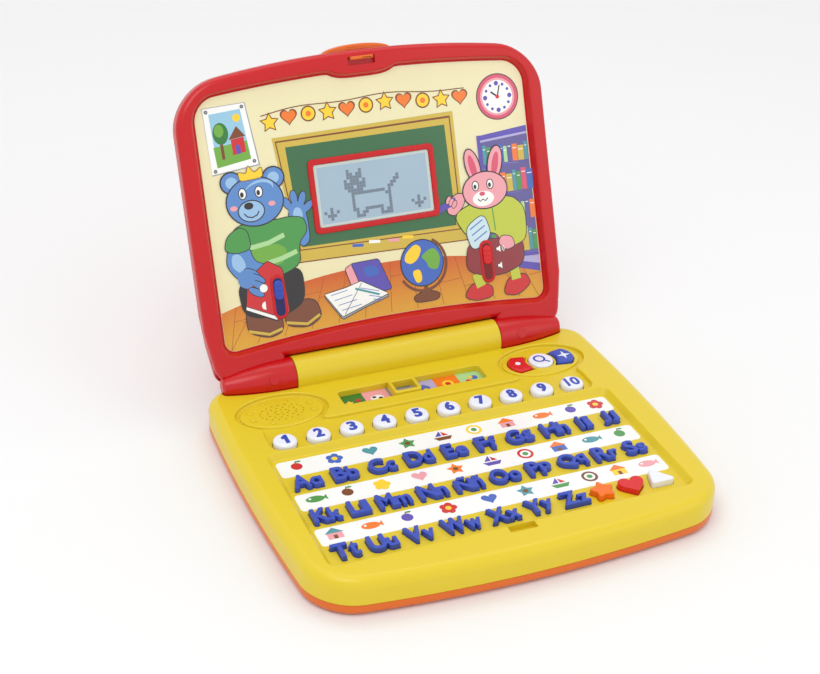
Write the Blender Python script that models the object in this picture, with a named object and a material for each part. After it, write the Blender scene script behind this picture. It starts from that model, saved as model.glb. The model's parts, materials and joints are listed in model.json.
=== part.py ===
"""A toy laptop computer: a yellow and orange base with sprung keys, and a red lid on a barrel hinge.

Sizes are in millimetres and become metres where a mesh is made. Two design frames are used.
The deck frame has x to the right, y to the back and z up from the floor of the keyboard tray.
The lid frame has x to the right, v up along the lid and w out of its picture side.
The model's own origin is on the ground, under the middle of the whole object.
"""

import math

import bmesh
import bpy
from mathutils import Matrix, Vector

MM = 0.001
GAP = 0.3

# Base: outline, heights and walls.
BASE_MID_X = 1.8
BASE_HALF_WIDTH = 150.2
BASE_FRONT = -111.0
BASE_BACK = 136.5
BASE_WIDEST_Y = 35.0
FRONT_BOW = 0.000514
SIDE_BOW = 0.00033
FRONT_RADIUS = 30.0
BACK_RADIUS = 20.0
GROUND_Z = -22.5
PARTING_Z = -14.0
DECK_Z = 4.5
WALL = 2.0

# Keyboard tray and its keys.
TRAY_HALF_WIDTH = 125.0
TRAY_FRONT = -79.5
TRAY_BACK = 41.0
TRAY_SLOPE = 3.5
ROW_Y = (9.9, -29.1, -68.1)
ROW_KEYS = ("A B C D E F G H I J".split(), "K L M N Ñ O P Q R S".split(), "T U V W X Y Z".split())
ROW_LEFT = -122.5
ROW_RIGHT = 118.5
CAP_HEIGHT = 14.5
LETTER_TOP = 5.0
KEY_TRAVEL = 1.8
FLANGE_DROP = 0.5
FLANGE_THICK = 2.0
SHAPE_KEY_X = (67.0, 88.5, 110.5)
PAIR_WIDTH_BASE = 7.5
PAIR_WIDTH_SHARE = 0.52

# Number keys and the band they stand in.
NUMBER_Y = 56.2
NUMBER_PITCH = 24.23
NUMBER_MID_X = -1.5
NUMBER_RADIUS = 9.0
NUMBER_TOP = 5.9
ROUND_STEPS = 14
BAND_Z = 1.5
BAND_BACK = 72.0
BAND_FRONT = 46.2
BAND_HALF_WIDTH = 121.5

# Speaker oval, function oval and mode window at the back of the deck.
OVAL_X = 100.5
OVAL_Y = 93.0
OVAL_HALF_X = 33.5
OVAL_HALF_Y = 21.4
OVAL_DISC_Z = 3.2
OVAL_MOAT_Z = 1.8
OVAL_MOAT_WIDTH = 2.6
GRILLE_RINGS = ((6, 5.5), (10, 11.5))
GRILLE_HOLE = 1.1
FUNCTION_KEY_Z = 5.0
ROUND_KEY_RADIUS = 9.3
WING_OUTER_REACH = 10.0
WING_INNER_REACH = 8.0
WINDOW_X = -1.5
WINDOW_Y = 93.5
WINDOW_HALF_X = 55.0
WINDOW_HALF_Y = 9.0
CURSOR_X = -8.0
CURSOR_HALF_X = 10.4
CURSOR_TOP = 6.2

# Hinge: the barrel on the base, the knuckles and pins on the lid.
HINGE_Y = 131.0
HINGE_Z = 7.6
BARREL_RADIUS = 13.4
BARREL_HALF_WIDTH = 79.8
KNUCKLE_END_X = 133.0
KNUCKLE_END_RADIUS = 6.5
PIN_RADIUS = 4.0
PIN_LENGTH = 4.5

# Lid: the angle of its picture plane, the outline and the layers.
LID_ANGLE = math.radians(68.55)
LID_FOOT_Y = 130.8
LID_HALF_WIDTH = 139.8
LID_TOP = 230.5
LID_BACK_BOTTOM = 8.7
LID_FRONT_BOTTOM = 21.0
LID_TOP_BOW = 0.00067
LID_TOP_RADIUS = 33.0
LID_TAPER_START = 50.0
LID_TAPER = 0.001
BEZEL_W = 5.0
SEAM_W = -3.0
LID_BACK_W = -12.0
PICTURE_HALF_WIDTH = 125.7
PICTURE_TOP = 216.0
PICTURE_BOTTOM = 36.7
PICTURE_BOW = 0.00048
PICTURE_RADIUS = 16.0
LATCH_DIP = 4.5
LATCH_DIP_HALF_WIDTH = 26.0

# Pieces on the lid.
LCD_HALF_WIDTH = 48.6
LCD_BOTTOM = 103.6
LCD_TOP = 157.3
LCD_FRAME = 4.2
LCD_FRAME_W = 1.4
SLIDER_X = 81.6
SLIDER_V = 64.0
SLIDER_HALF_WIDTH = 6.5
SLIDER_HALF_LENGTH = 19.5
SLIDER_PAD_W = 0.9
SLIDER_TRAVEL = 10.0
LATCH_HALF_WIDTH = 25.0
LATCH_TIP = 234.6
HOOK_V = 223.9
DECK_SLOT_Y = -87.2
DECK_SLOT_HALF = (9.5, 3.0)
HOOK_THICK = 1.1

# Battery box, in the lower case under the mode window.
CELL_RADIUS = 7.2
CELL_LENGTH = 50.0
CELL_COUNT = 3
BATTERY_Y = 97.0
BATTERY_HALF = (29.0, 24.0)
BATTERY_CEILING = -5.0

HINGE_V = (HINGE_Y - LID_FOOT_Y) * math.cos(LID_ANGLE) + HINGE_Z * math.sin(LID_ANGLE)
HINGE_W = HINGE_Z * math.cos(LID_ANGLE) - (HINGE_Y - LID_FOOT_Y) * math.sin(LID_ANGLE)
CENTRE_Y = 58.09


# ---------------------------------------------------------------- scene and materials

def clear_scene():
    for obj in list(bpy.data.objects):
        bpy.data.objects.remove(obj)


def plastic(name, color, roughness=0.3, metallic=0.0):
    material = bpy.data.materials.new(name)
    material.use_nodes = True
    shader = material.node_tree.nodes["Principled BSDF"]
    shader.inputs["Base Color"].default_value = (*color, 1.0)
    shader.inputs["Roughness"].default_value = roughness
    shader.inputs["Metallic"].default_value = metallic
    return material


def design_frame(name, location, origin, angle=0.0):
    """An empty that carries every piece of one design frame. origin is its own place in that frame."""
    empty = bpy.data.objects.new(name, None)
    empty.location = location
    empty.rotation_euler = (angle, 0.0, 0.0)
    bpy.context.collection.objects.link(empty)
    return empty, Vector(origin)


def place(name, bm, frame, material=None, origin=None):
    """Turns a bmesh in a design frame into an object. With no material it is a hidden cutter."""
    empty, frame_origin = frame
    origin = frame_origin if origin is None else Vector(origin)
    bmesh.ops.recalc_face_normals(bm, faces=bm.faces)
    bmesh.ops.translate(bm, vec=-origin, verts=bm.verts)
    bmesh.ops.scale(bm, vec=(MM, MM, MM), verts=bm.verts)
    mesh = bpy.data.meshes.new(name)
    bm.to_mesh(mesh)
    bm.free()
    obj = bpy.data.objects.new(name, mesh)
    obj.parent = empty
    obj.location = (origin - frame_origin) * MM
    bpy.context.collection.objects.link(obj)
    if material is None:
        obj.hide_render = True
        obj.display_type = "WIRE"
    else:
        mesh.materials.append(material)
        mesh.shade_smooth()
        mesh.set_sharp_from_angle(angle=math.radians(35))
    return obj


def combine(target, other, operation):
    modifier = target.modifiers.new(operation.lower(), "BOOLEAN")
    modifier.operation = operation
    modifier.solver = "EXACT"
    modifier.object = other


def cut(target, *cutters):
    for cutter in cutters:
        combine(target, cutter, "DIFFERENCE")


def join(target, *others):
    for other in others:
        combine(target, other, "UNION")


# ---------------------------------------------------------------- outlines

def rounded_outline(x0, x1, y0, y1, front_radius, back_radius, corner_steps=5, edge_steps=(1, 1, 1, 1)):
    """A rounded rectangle, anticlockwise from the front edge. edge_steps are front, right, back, left."""
    corners = (
        (x1, y0, front_radius, -90),
        (x1, y1, back_radius, 0),
        (x0, y1, back_radius, 90),
        (x0, y0, front_radius, 180),
    )
    points = []
    for index, (x, y, radius, start) in enumerate(corners):
        centre = (x - math.copysign(radius, x - (x0 + x1) / 2), y - math.copysign(radius, y - (y0 + y1) / 2))
        for step in range(corner_steps + 1):
            angle = math.radians(start + 90 * step / corner_steps)
            points.append((centre[0] + radius * math.cos(angle), centre[1] + radius * math.sin(angle)))
        following = corners[(index + 1) % 4]
        next_centre = (
            following[0] - math.copysign(following[2], following[0] - (x0 + x1) / 2),
            following[1] - math.copysign(following[2], following[1] - (y0 + y1) / 2),
        )
        angle = math.radians(following[3])
        end = (next_centre[0] + following[2] * math.cos(angle), next_centre[1] + following[2] * math.sin(angle))
        count = edge_steps[(index + 1) % 4]
        start_point = points[-1]
        for step in range(1, count):
            part = step / count
            points.append(tuple(a + (b - a) * part for a, b in zip(start_point, end)))
    return points


def rounded_box(x, y, half_x, half_y, radius, corner_steps=3):
    return rounded_outline(x - half_x, x + half_x, y - half_y, y + half_y, radius, radius, corner_steps)


def rectangle(x, y, half_x, half_y):
    return [(x - half_x, y - half_y), (x + half_x, y - half_y), (x + half_x, y + half_y), (x - half_x, y + half_y)]


def ellipse(x, y, half_x, half_y, count=24):
    turn = 2 * math.pi / count
    return [(x + half_x * math.cos(i * turn), y + half_y * math.sin(i * turn)) for i in range(count)]


def base_outline(inset):
    """The base seen from above, set in by inset: bowed front edge and slightly bulging sides."""
    points = rounded_outline(
        BASE_MID_X - BASE_HALF_WIDTH + inset,
        BASE_MID_X + BASE_HALF_WIDTH - inset,
        BASE_FRONT + inset,
        BASE_BACK - inset,
        FRONT_RADIUS - inset,
        BACK_RADIUS - inset,
        edge_steps=(8, 4, 2, 4),
    )
    bowed = []
    for x, y in points:
        share = (BASE_BACK - y) / (BASE_BACK - BASE_FRONT)
        narrowing = SIDE_BOW * (y - BASE_WIDEST_Y) ** 2 * (x - BASE_MID_X) / BASE_HALF_WIDTH
        bowed.append((x - narrowing, y + FRONT_BOW * (x - BASE_MID_X) ** 2 * share))
    return bowed


def lid_outline(inset, bottom):
    """The lid seen from its picture side: bowed top edge, sides that taper towards the hinge."""
    points = rounded_outline(
        -LID_HALF_WIDTH + inset,
        LID_HALF_WIDTH - inset,
        bottom + inset,
        LID_TOP - inset,
        7.0 - inset,
        LID_TOP_RADIUS - inset,
        corner_steps=4,
        edge_steps=(10, 2, 12, 2),
    )
    shaped = []
    for x, v in points:
        share = (v - bottom) / (LID_TOP - bottom)
        taper = 1 - LID_TAPER * max(0.0, LID_TAPER_START - v)
        shaped.append((x * taper, v - LID_TOP_BOW * x * x * share))
    return shaped


def picture_outline(grow):
    """The picture recess: both long edges bowed alike, the upper one dipping round the latch."""
    points = rounded_outline(
        -PICTURE_HALF_WIDTH - grow,
        PICTURE_HALF_WIDTH + grow,
        PICTURE_BOTTOM - grow,
        PICTURE_TOP + grow,
        9.0 + grow,
        PICTURE_RADIUS + grow,
        corner_steps=4,
        edge_steps=(10, 2, 12, 2),
    )
    shaped = []
    for x, v in points:
        dip = 0.0
        if v > SLIDER_V:
            dip = LATCH_DIP * max(0.0, 1 - (x / LATCH_DIP_HALF_WIDTH) ** 4)
        shaped.append((x, v - PICTURE_BOW * x * x - dip))
    return shaped


def tray_outline(grow):
    return rounded_outline(
        -TRAY_HALF_WIDTH - grow,
        TRAY_HALF_WIDTH + grow,
        TRAY_FRONT - grow,
        TRAY_BACK + grow,
        3.0 + grow,
        3.0 + grow,
        corner_steps=3,
    )


# ---------------------------------------------------------------- solids

def loft(bm, rings):
    """Joins equal rings of (x, y, z) points into one closed solid, with both end rings filled."""
    rows = [[bm.verts.new(point) for point in ring] for ring in rings]
    count = len(rows[0])
    for lower, upper in zip(rows, rows[1:]):
        for i in range(count):
            j = (i + 1) % count
            bm.faces.new((lower[i], lower[j], upper[j], upper[i]))
    bm.faces.new(list(reversed(rows[0])))
    bm.faces.new(rows[-1])


def level(outline, z):
    return [(x, y, z) for x, y in outline]


def prism(bm, outline, z0, z1):
    loft(bm, [level(outline, z0), level(outline, z1)])


def box(bm, x0, x1, y0, y1, z0, z1):
    prism(bm, [(x0, y0), (x1, y0), (x1, y1), (x0, y1)], z0, z1)


def turned(bm, x, y, profile, count=16):
    """A turned solid on a vertical axis. profile is (radius, z) from one end to the other."""
    loft(bm, [level(ellipse(x, y, radius, radius, count), z) for radius, z in profile])


def turned_along_x(bm, y, z, profile, count=16):
    """A turned solid on an axis along x. profile is (x, radius) from one end to the other."""
    rings = []
    for x, radius in profile:
        rings.append([(x, a, b) for a, b in ellipse(y, z, radius, radius, count)])
    loft(bm, rings)


def helper(name, frame, build):
    """A hidden solid whose shape build(bm) makes."""
    bm = bmesh.new()
    build(bm)
    return place(name, bm, frame)


# ---------------------------------------------------------------- hinge shapes

def knuckle_profile(side, grow, inner_x):
    """Radii of a knuckle from the barrel's end to its rounded outer end."""
    profile = [(side * inner_x, BARREL_RADIUS + grow)]
    length = KNUCKLE_END_X - BARREL_HALF_WIDTH
    for part in (0.35, 0.62, 0.82, 0.94):
        radius = BARREL_RADIUS - (BARREL_RADIUS - KNUCKLE_END_RADIUS) * part**2.2
        profile.append((side * (BARREL_HALF_WIDTH + length * part), radius + grow))
    profile.append((side * (KNUCKLE_END_X + grow), KNUCKLE_END_RADIUS * 0.62 + grow))
    return profile


# ---------------------------------------------------------------- base

def top_case(deck, material):
    bm = bmesh.new()
    rings = [level(base_outline(0.0), PARTING_Z + GAP / 2)]
    rings.append(level(base_outline(0.0), DECK_Z - 8.0))
    for degrees in (30, 60):
        angle = math.radians(degrees)
        rings.append(level(base_outline(8 - 8 * math.cos(angle)), DECK_Z - 8 + 8 * math.sin(angle)))
    rings.append(level(base_outline(8.0), DECK_Z))
    loft(bm, rings)
    case = place("top_case", bm, deck, material)

    cut(
        case,
        case_cavity(deck),
        helper("barrel_seat", deck, lambda bm: barrel_body(bm, GAP)),
        helper("tray_cut", deck, tray_cut),
        helper("band_cut", deck, band_cut),
        helper("oval_cut", deck, oval_cut),
        helper("knuckle_troughs", deck, lambda bm: knuckle_troughs(bm, 0.9)),
        helper("deck_openings", deck, deck_openings),
    )
    return case


def hinge_barrel(deck, material):
    """The tube that the lid's pins turn in, seated across the back of the deck."""
    bm = bmesh.new()
    barrel_body(bm, 0.0)
    barrel = place("hinge_barrel", bm, deck, material)
    cut(barrel, helper("barrel_bore", deck, barrel_bore))
    return barrel


def barrel_body(bm, grow):
    ends = BARREL_HALF_WIDTH + grow
    radius = BARREL_RADIUS + grow
    turned_along_x(bm, HINGE_Y, HINGE_Z, [(-ends, radius), (ends, radius)], count=28)


def knuckle_troughs(bm, grow):
    for side in (-1, 1):
        inner = BARREL_HALF_WIDTH if grow < 2 else BARREL_HALF_WIDTH - WALL
        turned_along_x(bm, HINGE_Y, HINGE_Z, knuckle_profile(side, grow, inner))


def case_cavity(deck):
    """The space inside the upper case: the whole outline, less the floors of everything sunk into the deck."""
    bm = bmesh.new()
    ceiling = DECK_Z - WALL
    loft(
        bm,
        [
            level(base_outline(WALL), PARTING_Z - 1),
            level(base_outline(WALL), ceiling - 5),
            level(base_outline(WALL + 2.5), ceiling - 1),
            level(base_outline(WALL + 6), ceiling),
        ],
    )
    cavity = place("case_cavity", bm, deck)
    cut(
        cavity,
        helper("tray_pan", deck, tray_pan),
        helper("band_pan", deck, lambda bm: prism(bm, band_outline(WALL), BAND_Z - WALL, DECK_Z)),
        helper("oval_pans", deck, oval_pans),
        helper("trough_walls", deck, lambda bm: knuckle_troughs(bm, 0.9 + WALL)),
    )
    return cavity


def tray_pan(bm):
    loft(bm, [level(tray_outline(WALL), -WALL), level(tray_outline(TRAY_SLOPE + WALL), DECK_Z)])


def barrel_bore(bm):
    """The hollow of the barrel, stepping down to the bore of each hinge pin."""
    hollow = BARREL_RADIUS - WALL
    wide = BARREL_HALF_WIDTH - 4.0
    out = BARREL_HALF_WIDTH + 1.0
    bore = PIN_RADIUS + 0.5
    profile = [(-out, bore), (-wide, bore), (-wide, hollow), (wide, hollow), (wide, bore), (out, bore)]
    turned_along_x(bm, HINGE_Y, HINGE_Z, profile)


def tray_cut(bm):
    loft(bm, [level(tray_outline(0), 0), level(tray_outline(TRAY_SLOPE), DECK_Z), level(tray_outline(TRAY_SLOPE), 9)])


def band_outline(grow):
    middle = (BAND_FRONT + BAND_BACK) / 2
    half = (BAND_BACK - BAND_FRONT) / 2
    return rounded_box(0, middle, BAND_HALF_WIDTH + grow, half + grow, 8.0 + grow, corner_steps=4)


def band_cut(bm):
    prism(bm, band_outline(0), BAND_Z, 9)


def oval_cut(bm):
    """Both ovals: a raised disc inside a moat."""
    for side in (-1, 1):
        rim = ellipse(side * OVAL_X, OVAL_Y, OVAL_HALF_X, OVAL_HALF_Y)
        disc = ellipse(
            side * OVAL_X, OVAL_Y, OVAL_HALF_X - OVAL_MOAT_WIDTH, OVAL_HALF_Y - OVAL_MOAT_WIDTH
        )
        loft(bm, [level(disc, OVAL_DISC_Z), level(disc, OVAL_MOAT_Z), level(rim, OVAL_MOAT_Z), level(rim, 9)])


def oval_pans(bm):
    for side in (-1, 1):
        outline = ellipse(side * OVAL_X, OVAL_Y, OVAL_HALF_X + WALL, OVAL_HALF_Y + WALL)
        prism(bm, outline, OVAL_MOAT_Z - WALL, DECK_Z)


def deck_openings(bm):
    """Every hole through the deck: key holes, grille, mode window and latch slot."""
    low, high = -6, 9
    for hole in key_holes():
        prism(bm, hole, low, high)
    for count, radius in GRILLE_RINGS:
        for i in range(count):
            angle = 2 * math.pi * i / count
            x = -OVAL_X + 1.5 * radius * math.cos(angle)
            y = OVAL_Y + radius * math.sin(angle)
            prism(bm, ellipse(x, y, GRILLE_HOLE, GRILLE_HOLE, 6), low, high)
    prism(bm, rounded_box(WINDOW_X, WINDOW_Y, WINDOW_HALF_X, WINDOW_HALF_Y, 3.0), low, high)
    half_x, half_y = DECK_SLOT_HALF
    box(bm, -half_x, half_x, DECK_SLOT_Y - half_y, DECK_SLOT_Y + half_y, low, high)


def bottom_case(deck, material):
    bm = bmesh.new()
    floor = GROUND_Z + WALL
    rim = PARTING_Z - GAP / 2
    loft(
        bm,
        [
            level(base_outline(5.0), floor),
            level(base_outline(WALL), floor + 2.5),
            level(base_outline(WALL), rim),
            level(base_outline(0.0), rim),
            level(base_outline(0.0), GROUND_Z + 4.5),
            level(base_outline(1.4), GROUND_Z + 1.4),
            level(base_outline(4.5), GROUND_Z),
        ],
    )
    case = place("bottom_case", bm, deck, material)
    join(case, helper("battery_box", deck, battery_box), helper("screw_posts", deck, screw_posts))
    cut(
        case,
        helper("battery_space", deck, battery_space),
        helper("screw_wells", deck, screw_wells),
    )
    return case


def battery_box(bm):
    half_x, half_y = BATTERY_HALF
    wall = 1.6
    box(
        bm,
        -half_x - wall,
        half_x + wall,
        BATTERY_Y - half_y - wall,
        BATTERY_Y + half_y + wall,
        GROUND_Z + 0.8,
        BATTERY_CEILING + wall,
    )


def battery_space(bm):
    """The battery compartment, open through the floor."""
    half_x, half_y = BATTERY_HALF
    box(bm, -half_x, half_x, BATTERY_Y - half_y, BATTERY_Y + half_y, GROUND_Z - 1, BATTERY_CEILING)


def screw_places():
    return [(side * 136.0, y) for side in (-1, 1) for y in (-62.0, 30.0, 100.0)] + [(-60.0, -97.0), (60.0, -97.0)]


def screw_posts(bm):
    for x, y in screw_places():
        turned(bm, x, y, [(4.6, GROUND_Z + 0.8), (4.6, PARTING_Z - 1)], count=10)


def screw_wells(bm):
    for x, y in screw_places():
        turned(bm, x, y, [(2.8, GROUND_Z - 1), (2.8, GROUND_Z + 5), (1.3, GROUND_Z + 5), (1.3, PARTING_Z)], count=8)


def battery_door(deck, material):
    bm = bmesh.new()
    half_x, half_y = BATTERY_HALF[0] - GAP, BATTERY_HALF[1] - GAP
    box(bm, -half_x, half_x, BATTERY_Y - half_y, BATTERY_Y + half_y, GROUND_Z, GROUND_Z + 1.8)
    return place("battery_door", bm, deck, material)


def battery_cells(deck, material):
    """Three cells side by side, joined by the contact strip at each end."""
    bm = bmesh.new()
    middle_z = GROUND_Z + 2.2 + CELL_RADIUS
    half = CELL_LENGTH / 2
    pitch = 2 * CELL_RADIUS + 0.5
    first = BATTERY_Y - pitch * (CELL_COUNT - 1) / 2
    turned_along_x(bm, first, middle_z, [(-half, CELL_RADIUS), (half, CELL_RADIUS)], count=12)
    cells = place("battery_cells", bm, deck, material)
    for index in range(1, CELL_COUNT):
        y = first + index * pitch
        profile = [(-half, CELL_RADIUS), (half, CELL_RADIUS)]
        join(cells, helper(f"cell_{index}", deck, lambda bm: turned_along_x(bm, y, middle_z, profile, count=12)))

    def strips(bm):
        for side in (-1, 1):
            x0, x1 = sorted((side * (half - 0.5), side * (half + 1.0)))
            box(bm, x0, x1, first - 5, first + pitch * (CELL_COUNT - 1) + 5, middle_z - 4, middle_z + 4)

    join(cells, helper("contact_strips", deck, strips))
    return cells


def inner_pieces(deck, materials):
    bm = bmesh.new()
    outline = rounded_outline(-122, 122, -84, 68, 3, 3, corner_steps=1)
    prism(bm, outline, -9.6, -8.0)
    place("main_board", bm, deck, materials["board"])

    bm = bmesh.new()
    profile = [(11, -14.0), (11, -10.5), (14, -9.5), (23, -4.5), (25, -4.5), (25, -1.5), (22, -1.5), (10, -6)]
    turned(bm, -OVAL_X, OVAL_Y, profile, count=18)
    place("speaker", bm, deck, materials["dark"])

    bm = bmesh.new()
    prism(bm, rounded_box(WINDOW_X, WINDOW_Y, WINDOW_HALF_X + 3, WINDOW_HALF_Y + 2.5, 2.0, 1), -0.9, -0.3)
    place("mode_card", bm, deck, materials["card"])


def mode_cursor(deck, material):
    """A square collar that stands in the window on a wider foot, and slides along it."""
    bm = bmesh.new()
    half = CURSOR_HALF_X
    depth = WINDOW_HALF_Y - 0.5
    outer = rounded_box(CURSOR_X, WINDOW_Y, half, depth, 1.5, 1)
    inner = rounded_box(CURSOR_X, WINDOW_Y, half - 2.4, depth - 2.4, 0.8, 1)
    foot = rounded_box(CURSOR_X, WINDOW_Y, half + 1.5, depth + 2.2, 1.5, 1)
    rings = [
        level(foot, 0.1),
        level(foot, DECK_Z - WALL - 0.5),
        level(outer, DECK_Z - WALL - 0.5),
        level(outer, CURSOR_TOP),
    ]
    loft(bm, rings)
    cursor = place("mode_cursor", bm, deck, material, origin=(CURSOR_X, WINDOW_Y, DECK_Z))
    cut(cursor, helper("cursor_hole", deck, lambda bm: prism(bm, inner, -1, 9)))
    return cursor


# ---------------------------------------------------------------- keys

def text_mesh(text, height, thickness):
    """A solid of block lettering, at low resolution, left edge at x = 0 and baseline at y = 0, in millimetres."""
    curve = bpy.data.curves.new("lettering", "FONT")
    curve.body = text
    curve.size = height / 0.73
    curve.resolution_u = 1
    curve.space_character = 1.1
    curve.extrude = thickness / 2
    obj = bpy.data.objects.new("lettering", curve)
    bpy.context.collection.objects.link(obj)
    bpy.context.view_layer.update()
    mesh = bpy.data.meshes.new_from_object(obj.evaluated_get(bpy.context.evaluated_depsgraph_get()))
    bpy.data.objects.remove(obj)
    bm = bmesh.new()
    bm.from_mesh(mesh)
    bmesh.ops.remove_doubles(bm, verts=bm.verts, dist=0.01)
    left = min(vert.co.x for vert in bm.verts)
    bmesh.ops.translate(bm, vec=(-left, 0, 0), verts=bm.verts)
    return bm


def letter_pair(letter):
    """The capital and the small letter of one key as one mesh, and its width. Wide pairs are squeezed most,
    and a pair with a tail is squeezed to the height of a capital."""
    small = ROUND_SMALL_LETTERS.get(letter, letter.lower())
    capital = ROUND_CAPITALS.get(letter, letter)
    bm = text_mesh(capital + small, CAP_HEIGHT, LETTER_TOP)
    natural = max(vert.co.x for vert in bm.verts)
    width = PAIR_WIDTH_BASE + PAIR_WIDTH_SHARE * natural
    low, high = (pick(vert.co.y for vert in bm.verts) for pick in (min, max))
    bmesh.ops.scale(bm, vec=(width / natural, CAP_HEIGHT / (high - low), 1), verts=bm.verts)
    return bm, width


def letter_places():
    """Each letter key's name, row height and middle, with equal spaces between the pairs of a row."""
    places = []
    for y, row in zip(ROW_Y, ROW_KEYS):
        widths = [letter_width(letter) for letter in row]
        right = ROW_RIGHT if len(row) == 10 else SHAPE_KEY_X[0] - 13.0
        space = (right - ROW_LEFT - sum(widths)) / (len(row) - 1)
        x = ROW_LEFT
        for letter, width in zip(row, widths):
            places.append((letter, x + width / 2, y, width))
            x += width + space
    return places


WIDTHS = {}
# The small letters of these pairs are drawn as strokes that overlap.
OVERLAPPING_GLYPHS = "FQT"
# Small letters drawn in their plain round form, which other alphabets also have.
ROUND_SMALL_LETTERS = {"A": "ɑ"}
ROUND_CAPITALS = {"U": "∪"}


def letter_width(letter):
    if letter not in WIDTHS:
        bm, WIDTHS[letter] = letter_pair(letter)
        bm.free()
    return WIDTHS[letter]


def plinth(x, y, width, grow):
    """The foot of a letter key, a little wider than its letters."""
    margin = 0.6 + grow
    return rectangle(x, y, width / 2 + margin, CAP_HEIGHT / 2 + margin)


def star_outline(size):
    points = []
    for i in range(10):
        radius = size if i % 2 == 0 else size * 0.58
        angle = math.radians(90 + 36 * i)
        points.append((radius * math.cos(angle), radius * math.sin(angle)))
    return points


def heart_outline(size):
    points = []
    for i in range(20):
        t = 2 * math.pi * i / 20
        x = math.sin(t) ** 3
        y = (13 * math.cos(t) - 5 * math.cos(2 * t) - 2 * math.cos(3 * t) - math.cos(4 * t)) / 16
        points.append((-size * x, size * (y + 0.1)))
    return points


def triangle_outline(size):
    """A rounded triangle: three corners, each a short arc."""
    points = []
    for i in range(3):
        middle = math.radians(90 + 120 * i)
        cx, cy = size * math.cos(middle), size * math.sin(middle)
        for turn in (-60, -20, 20, 60):
            angle = middle + math.radians(turn)
            points.append((cx + 1.4 * math.cos(angle), cy + 1.4 * math.sin(angle) - 1.5))
    return points


def shape_keys_outlines(grow):
    """The star, heart and triangle of the last three keys, in their places."""
    shapes = {
        "star": star_outline(9.2 + grow),
        "heart": heart_outline(9.2 + grow),
        "triangle": triangle_outline(8.6 + 2 * grow),
    }
    outlines = []
    for (kind, outline), x in zip(shapes.items(), SHAPE_KEY_X):
        outlines.append((kind, [(x + a, ROW_Y[2] + b) for a, b in outline]))
    return outlines


def number_x(index):
    return NUMBER_MID_X + (index - 4.5) * NUMBER_PITCH


def wing_outline(side, grow):
    """A function key beside the round one: outside it follows the oval, inside it is hollowed by the round key."""
    half_x = OVAL_HALF_X - 5.5 + grow
    half_y = OVAL_HALF_Y - 5.0 + grow
    hollow = ROUND_KEY_RADIUS + 2.6 - grow
    reach = math.asin((WING_OUTER_REACH + 1.3 * grow) / half_y)
    hollow_reach = math.asin((WING_INNER_REACH + 1.3 * grow) / hollow)
    points = []
    for step in range(9):
        angle = -reach + 2 * reach * step / 8
        points.append((half_x * math.cos(angle), half_y * math.sin(angle)))
    for step in range(7):
        angle = hollow_reach * (1 - step / 3)
        points.append((hollow * math.cos(angle), hollow * math.sin(angle)))
    if side < 0:
        points = [(-x, y) for x, y in reversed(points)]
    return [(OVAL_X + x, OVAL_Y + y) for x, y in points]


def key_holes():
    """The outlines of all key holes in the deck, each a clearance wider than its key."""
    clearance = 0.4
    holes = [plinth(x, y, width, clearance) for _, x, y, width in letter_places()]
    holes += [outline for _, outline in shape_keys_outlines(clearance)]
    for index in range(10):
        radius = NUMBER_RADIUS + clearance
        holes.append(ellipse(number_x(index), NUMBER_Y, radius, radius, ROUND_STEPS))
    radius = ROUND_KEY_RADIUS + clearance
    holes.append(ellipse(OVAL_X, OVAL_Y, radius, radius, ROUND_STEPS))
    holes += [wing_outline(side, clearance) for side in (-1, 1)]
    return holes


def letter_key(deck, material, letter, x, y, width):
    name = "letter_key_" + ("N_tilde" if letter == "Ñ" else letter)
    bm = bmesh.new()
    top = -WALL - FLANGE_DROP
    flange = rectangle(x, y, width / 2 + 1.8, CAP_HEIGHT / 2 + 2.4)
    foot = plinth(x, y, width, 0.0)
    rings = [level(flange, top - FLANGE_THICK), level(flange, top), level(foot, top), level(foot, -0.4)]
    loft(bm, rings)
    key = place(name, bm, deck, material, origin=(x, y, 0))
    letters, _ = letter_pair(letter)
    middle = (min(v.co.y for v in letters.verts) + max(v.co.y for v in letters.verts)) / 2
    shift = (x - width / 2, y - middle, LETTER_TOP / 2)
    bmesh.ops.translate(letters, vec=shift, verts=letters.verts)
    for vert in letters.verts:
        if vert.co.z < LETTER_TOP / 2:
            vert.co.z = -0.9
    join(key, place(name + "_letters", letters, deck))
    key.modifiers[-1].use_self = letter in OVERLAPPING_GLYPHS
    return key


def flat_key(deck, material, name, outline, flange, floor, top):
    """A key of one outline all the way up, on a wider flange under a deck floor."""
    bm = bmesh.new()
    low = floor - WALL - FLANGE_DROP
    middle_x = sum(x for x, _ in outline) / len(outline)
    middle_y = sum(y for _, y in outline) / len(outline)
    crown = [(middle_x + (x - middle_x) * 0.93, middle_y + (y - middle_y) * 0.93) for x, y in outline]
    rings = [
        level(flange, low - FLANGE_THICK),
        level(flange, low),
        level(outline, low),
        level(outline, top - 0.7),
        level(crown, top),
    ]
    loft(bm, rings)
    return place(name, bm, deck, material, origin=(middle_x, middle_y, top))


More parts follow.
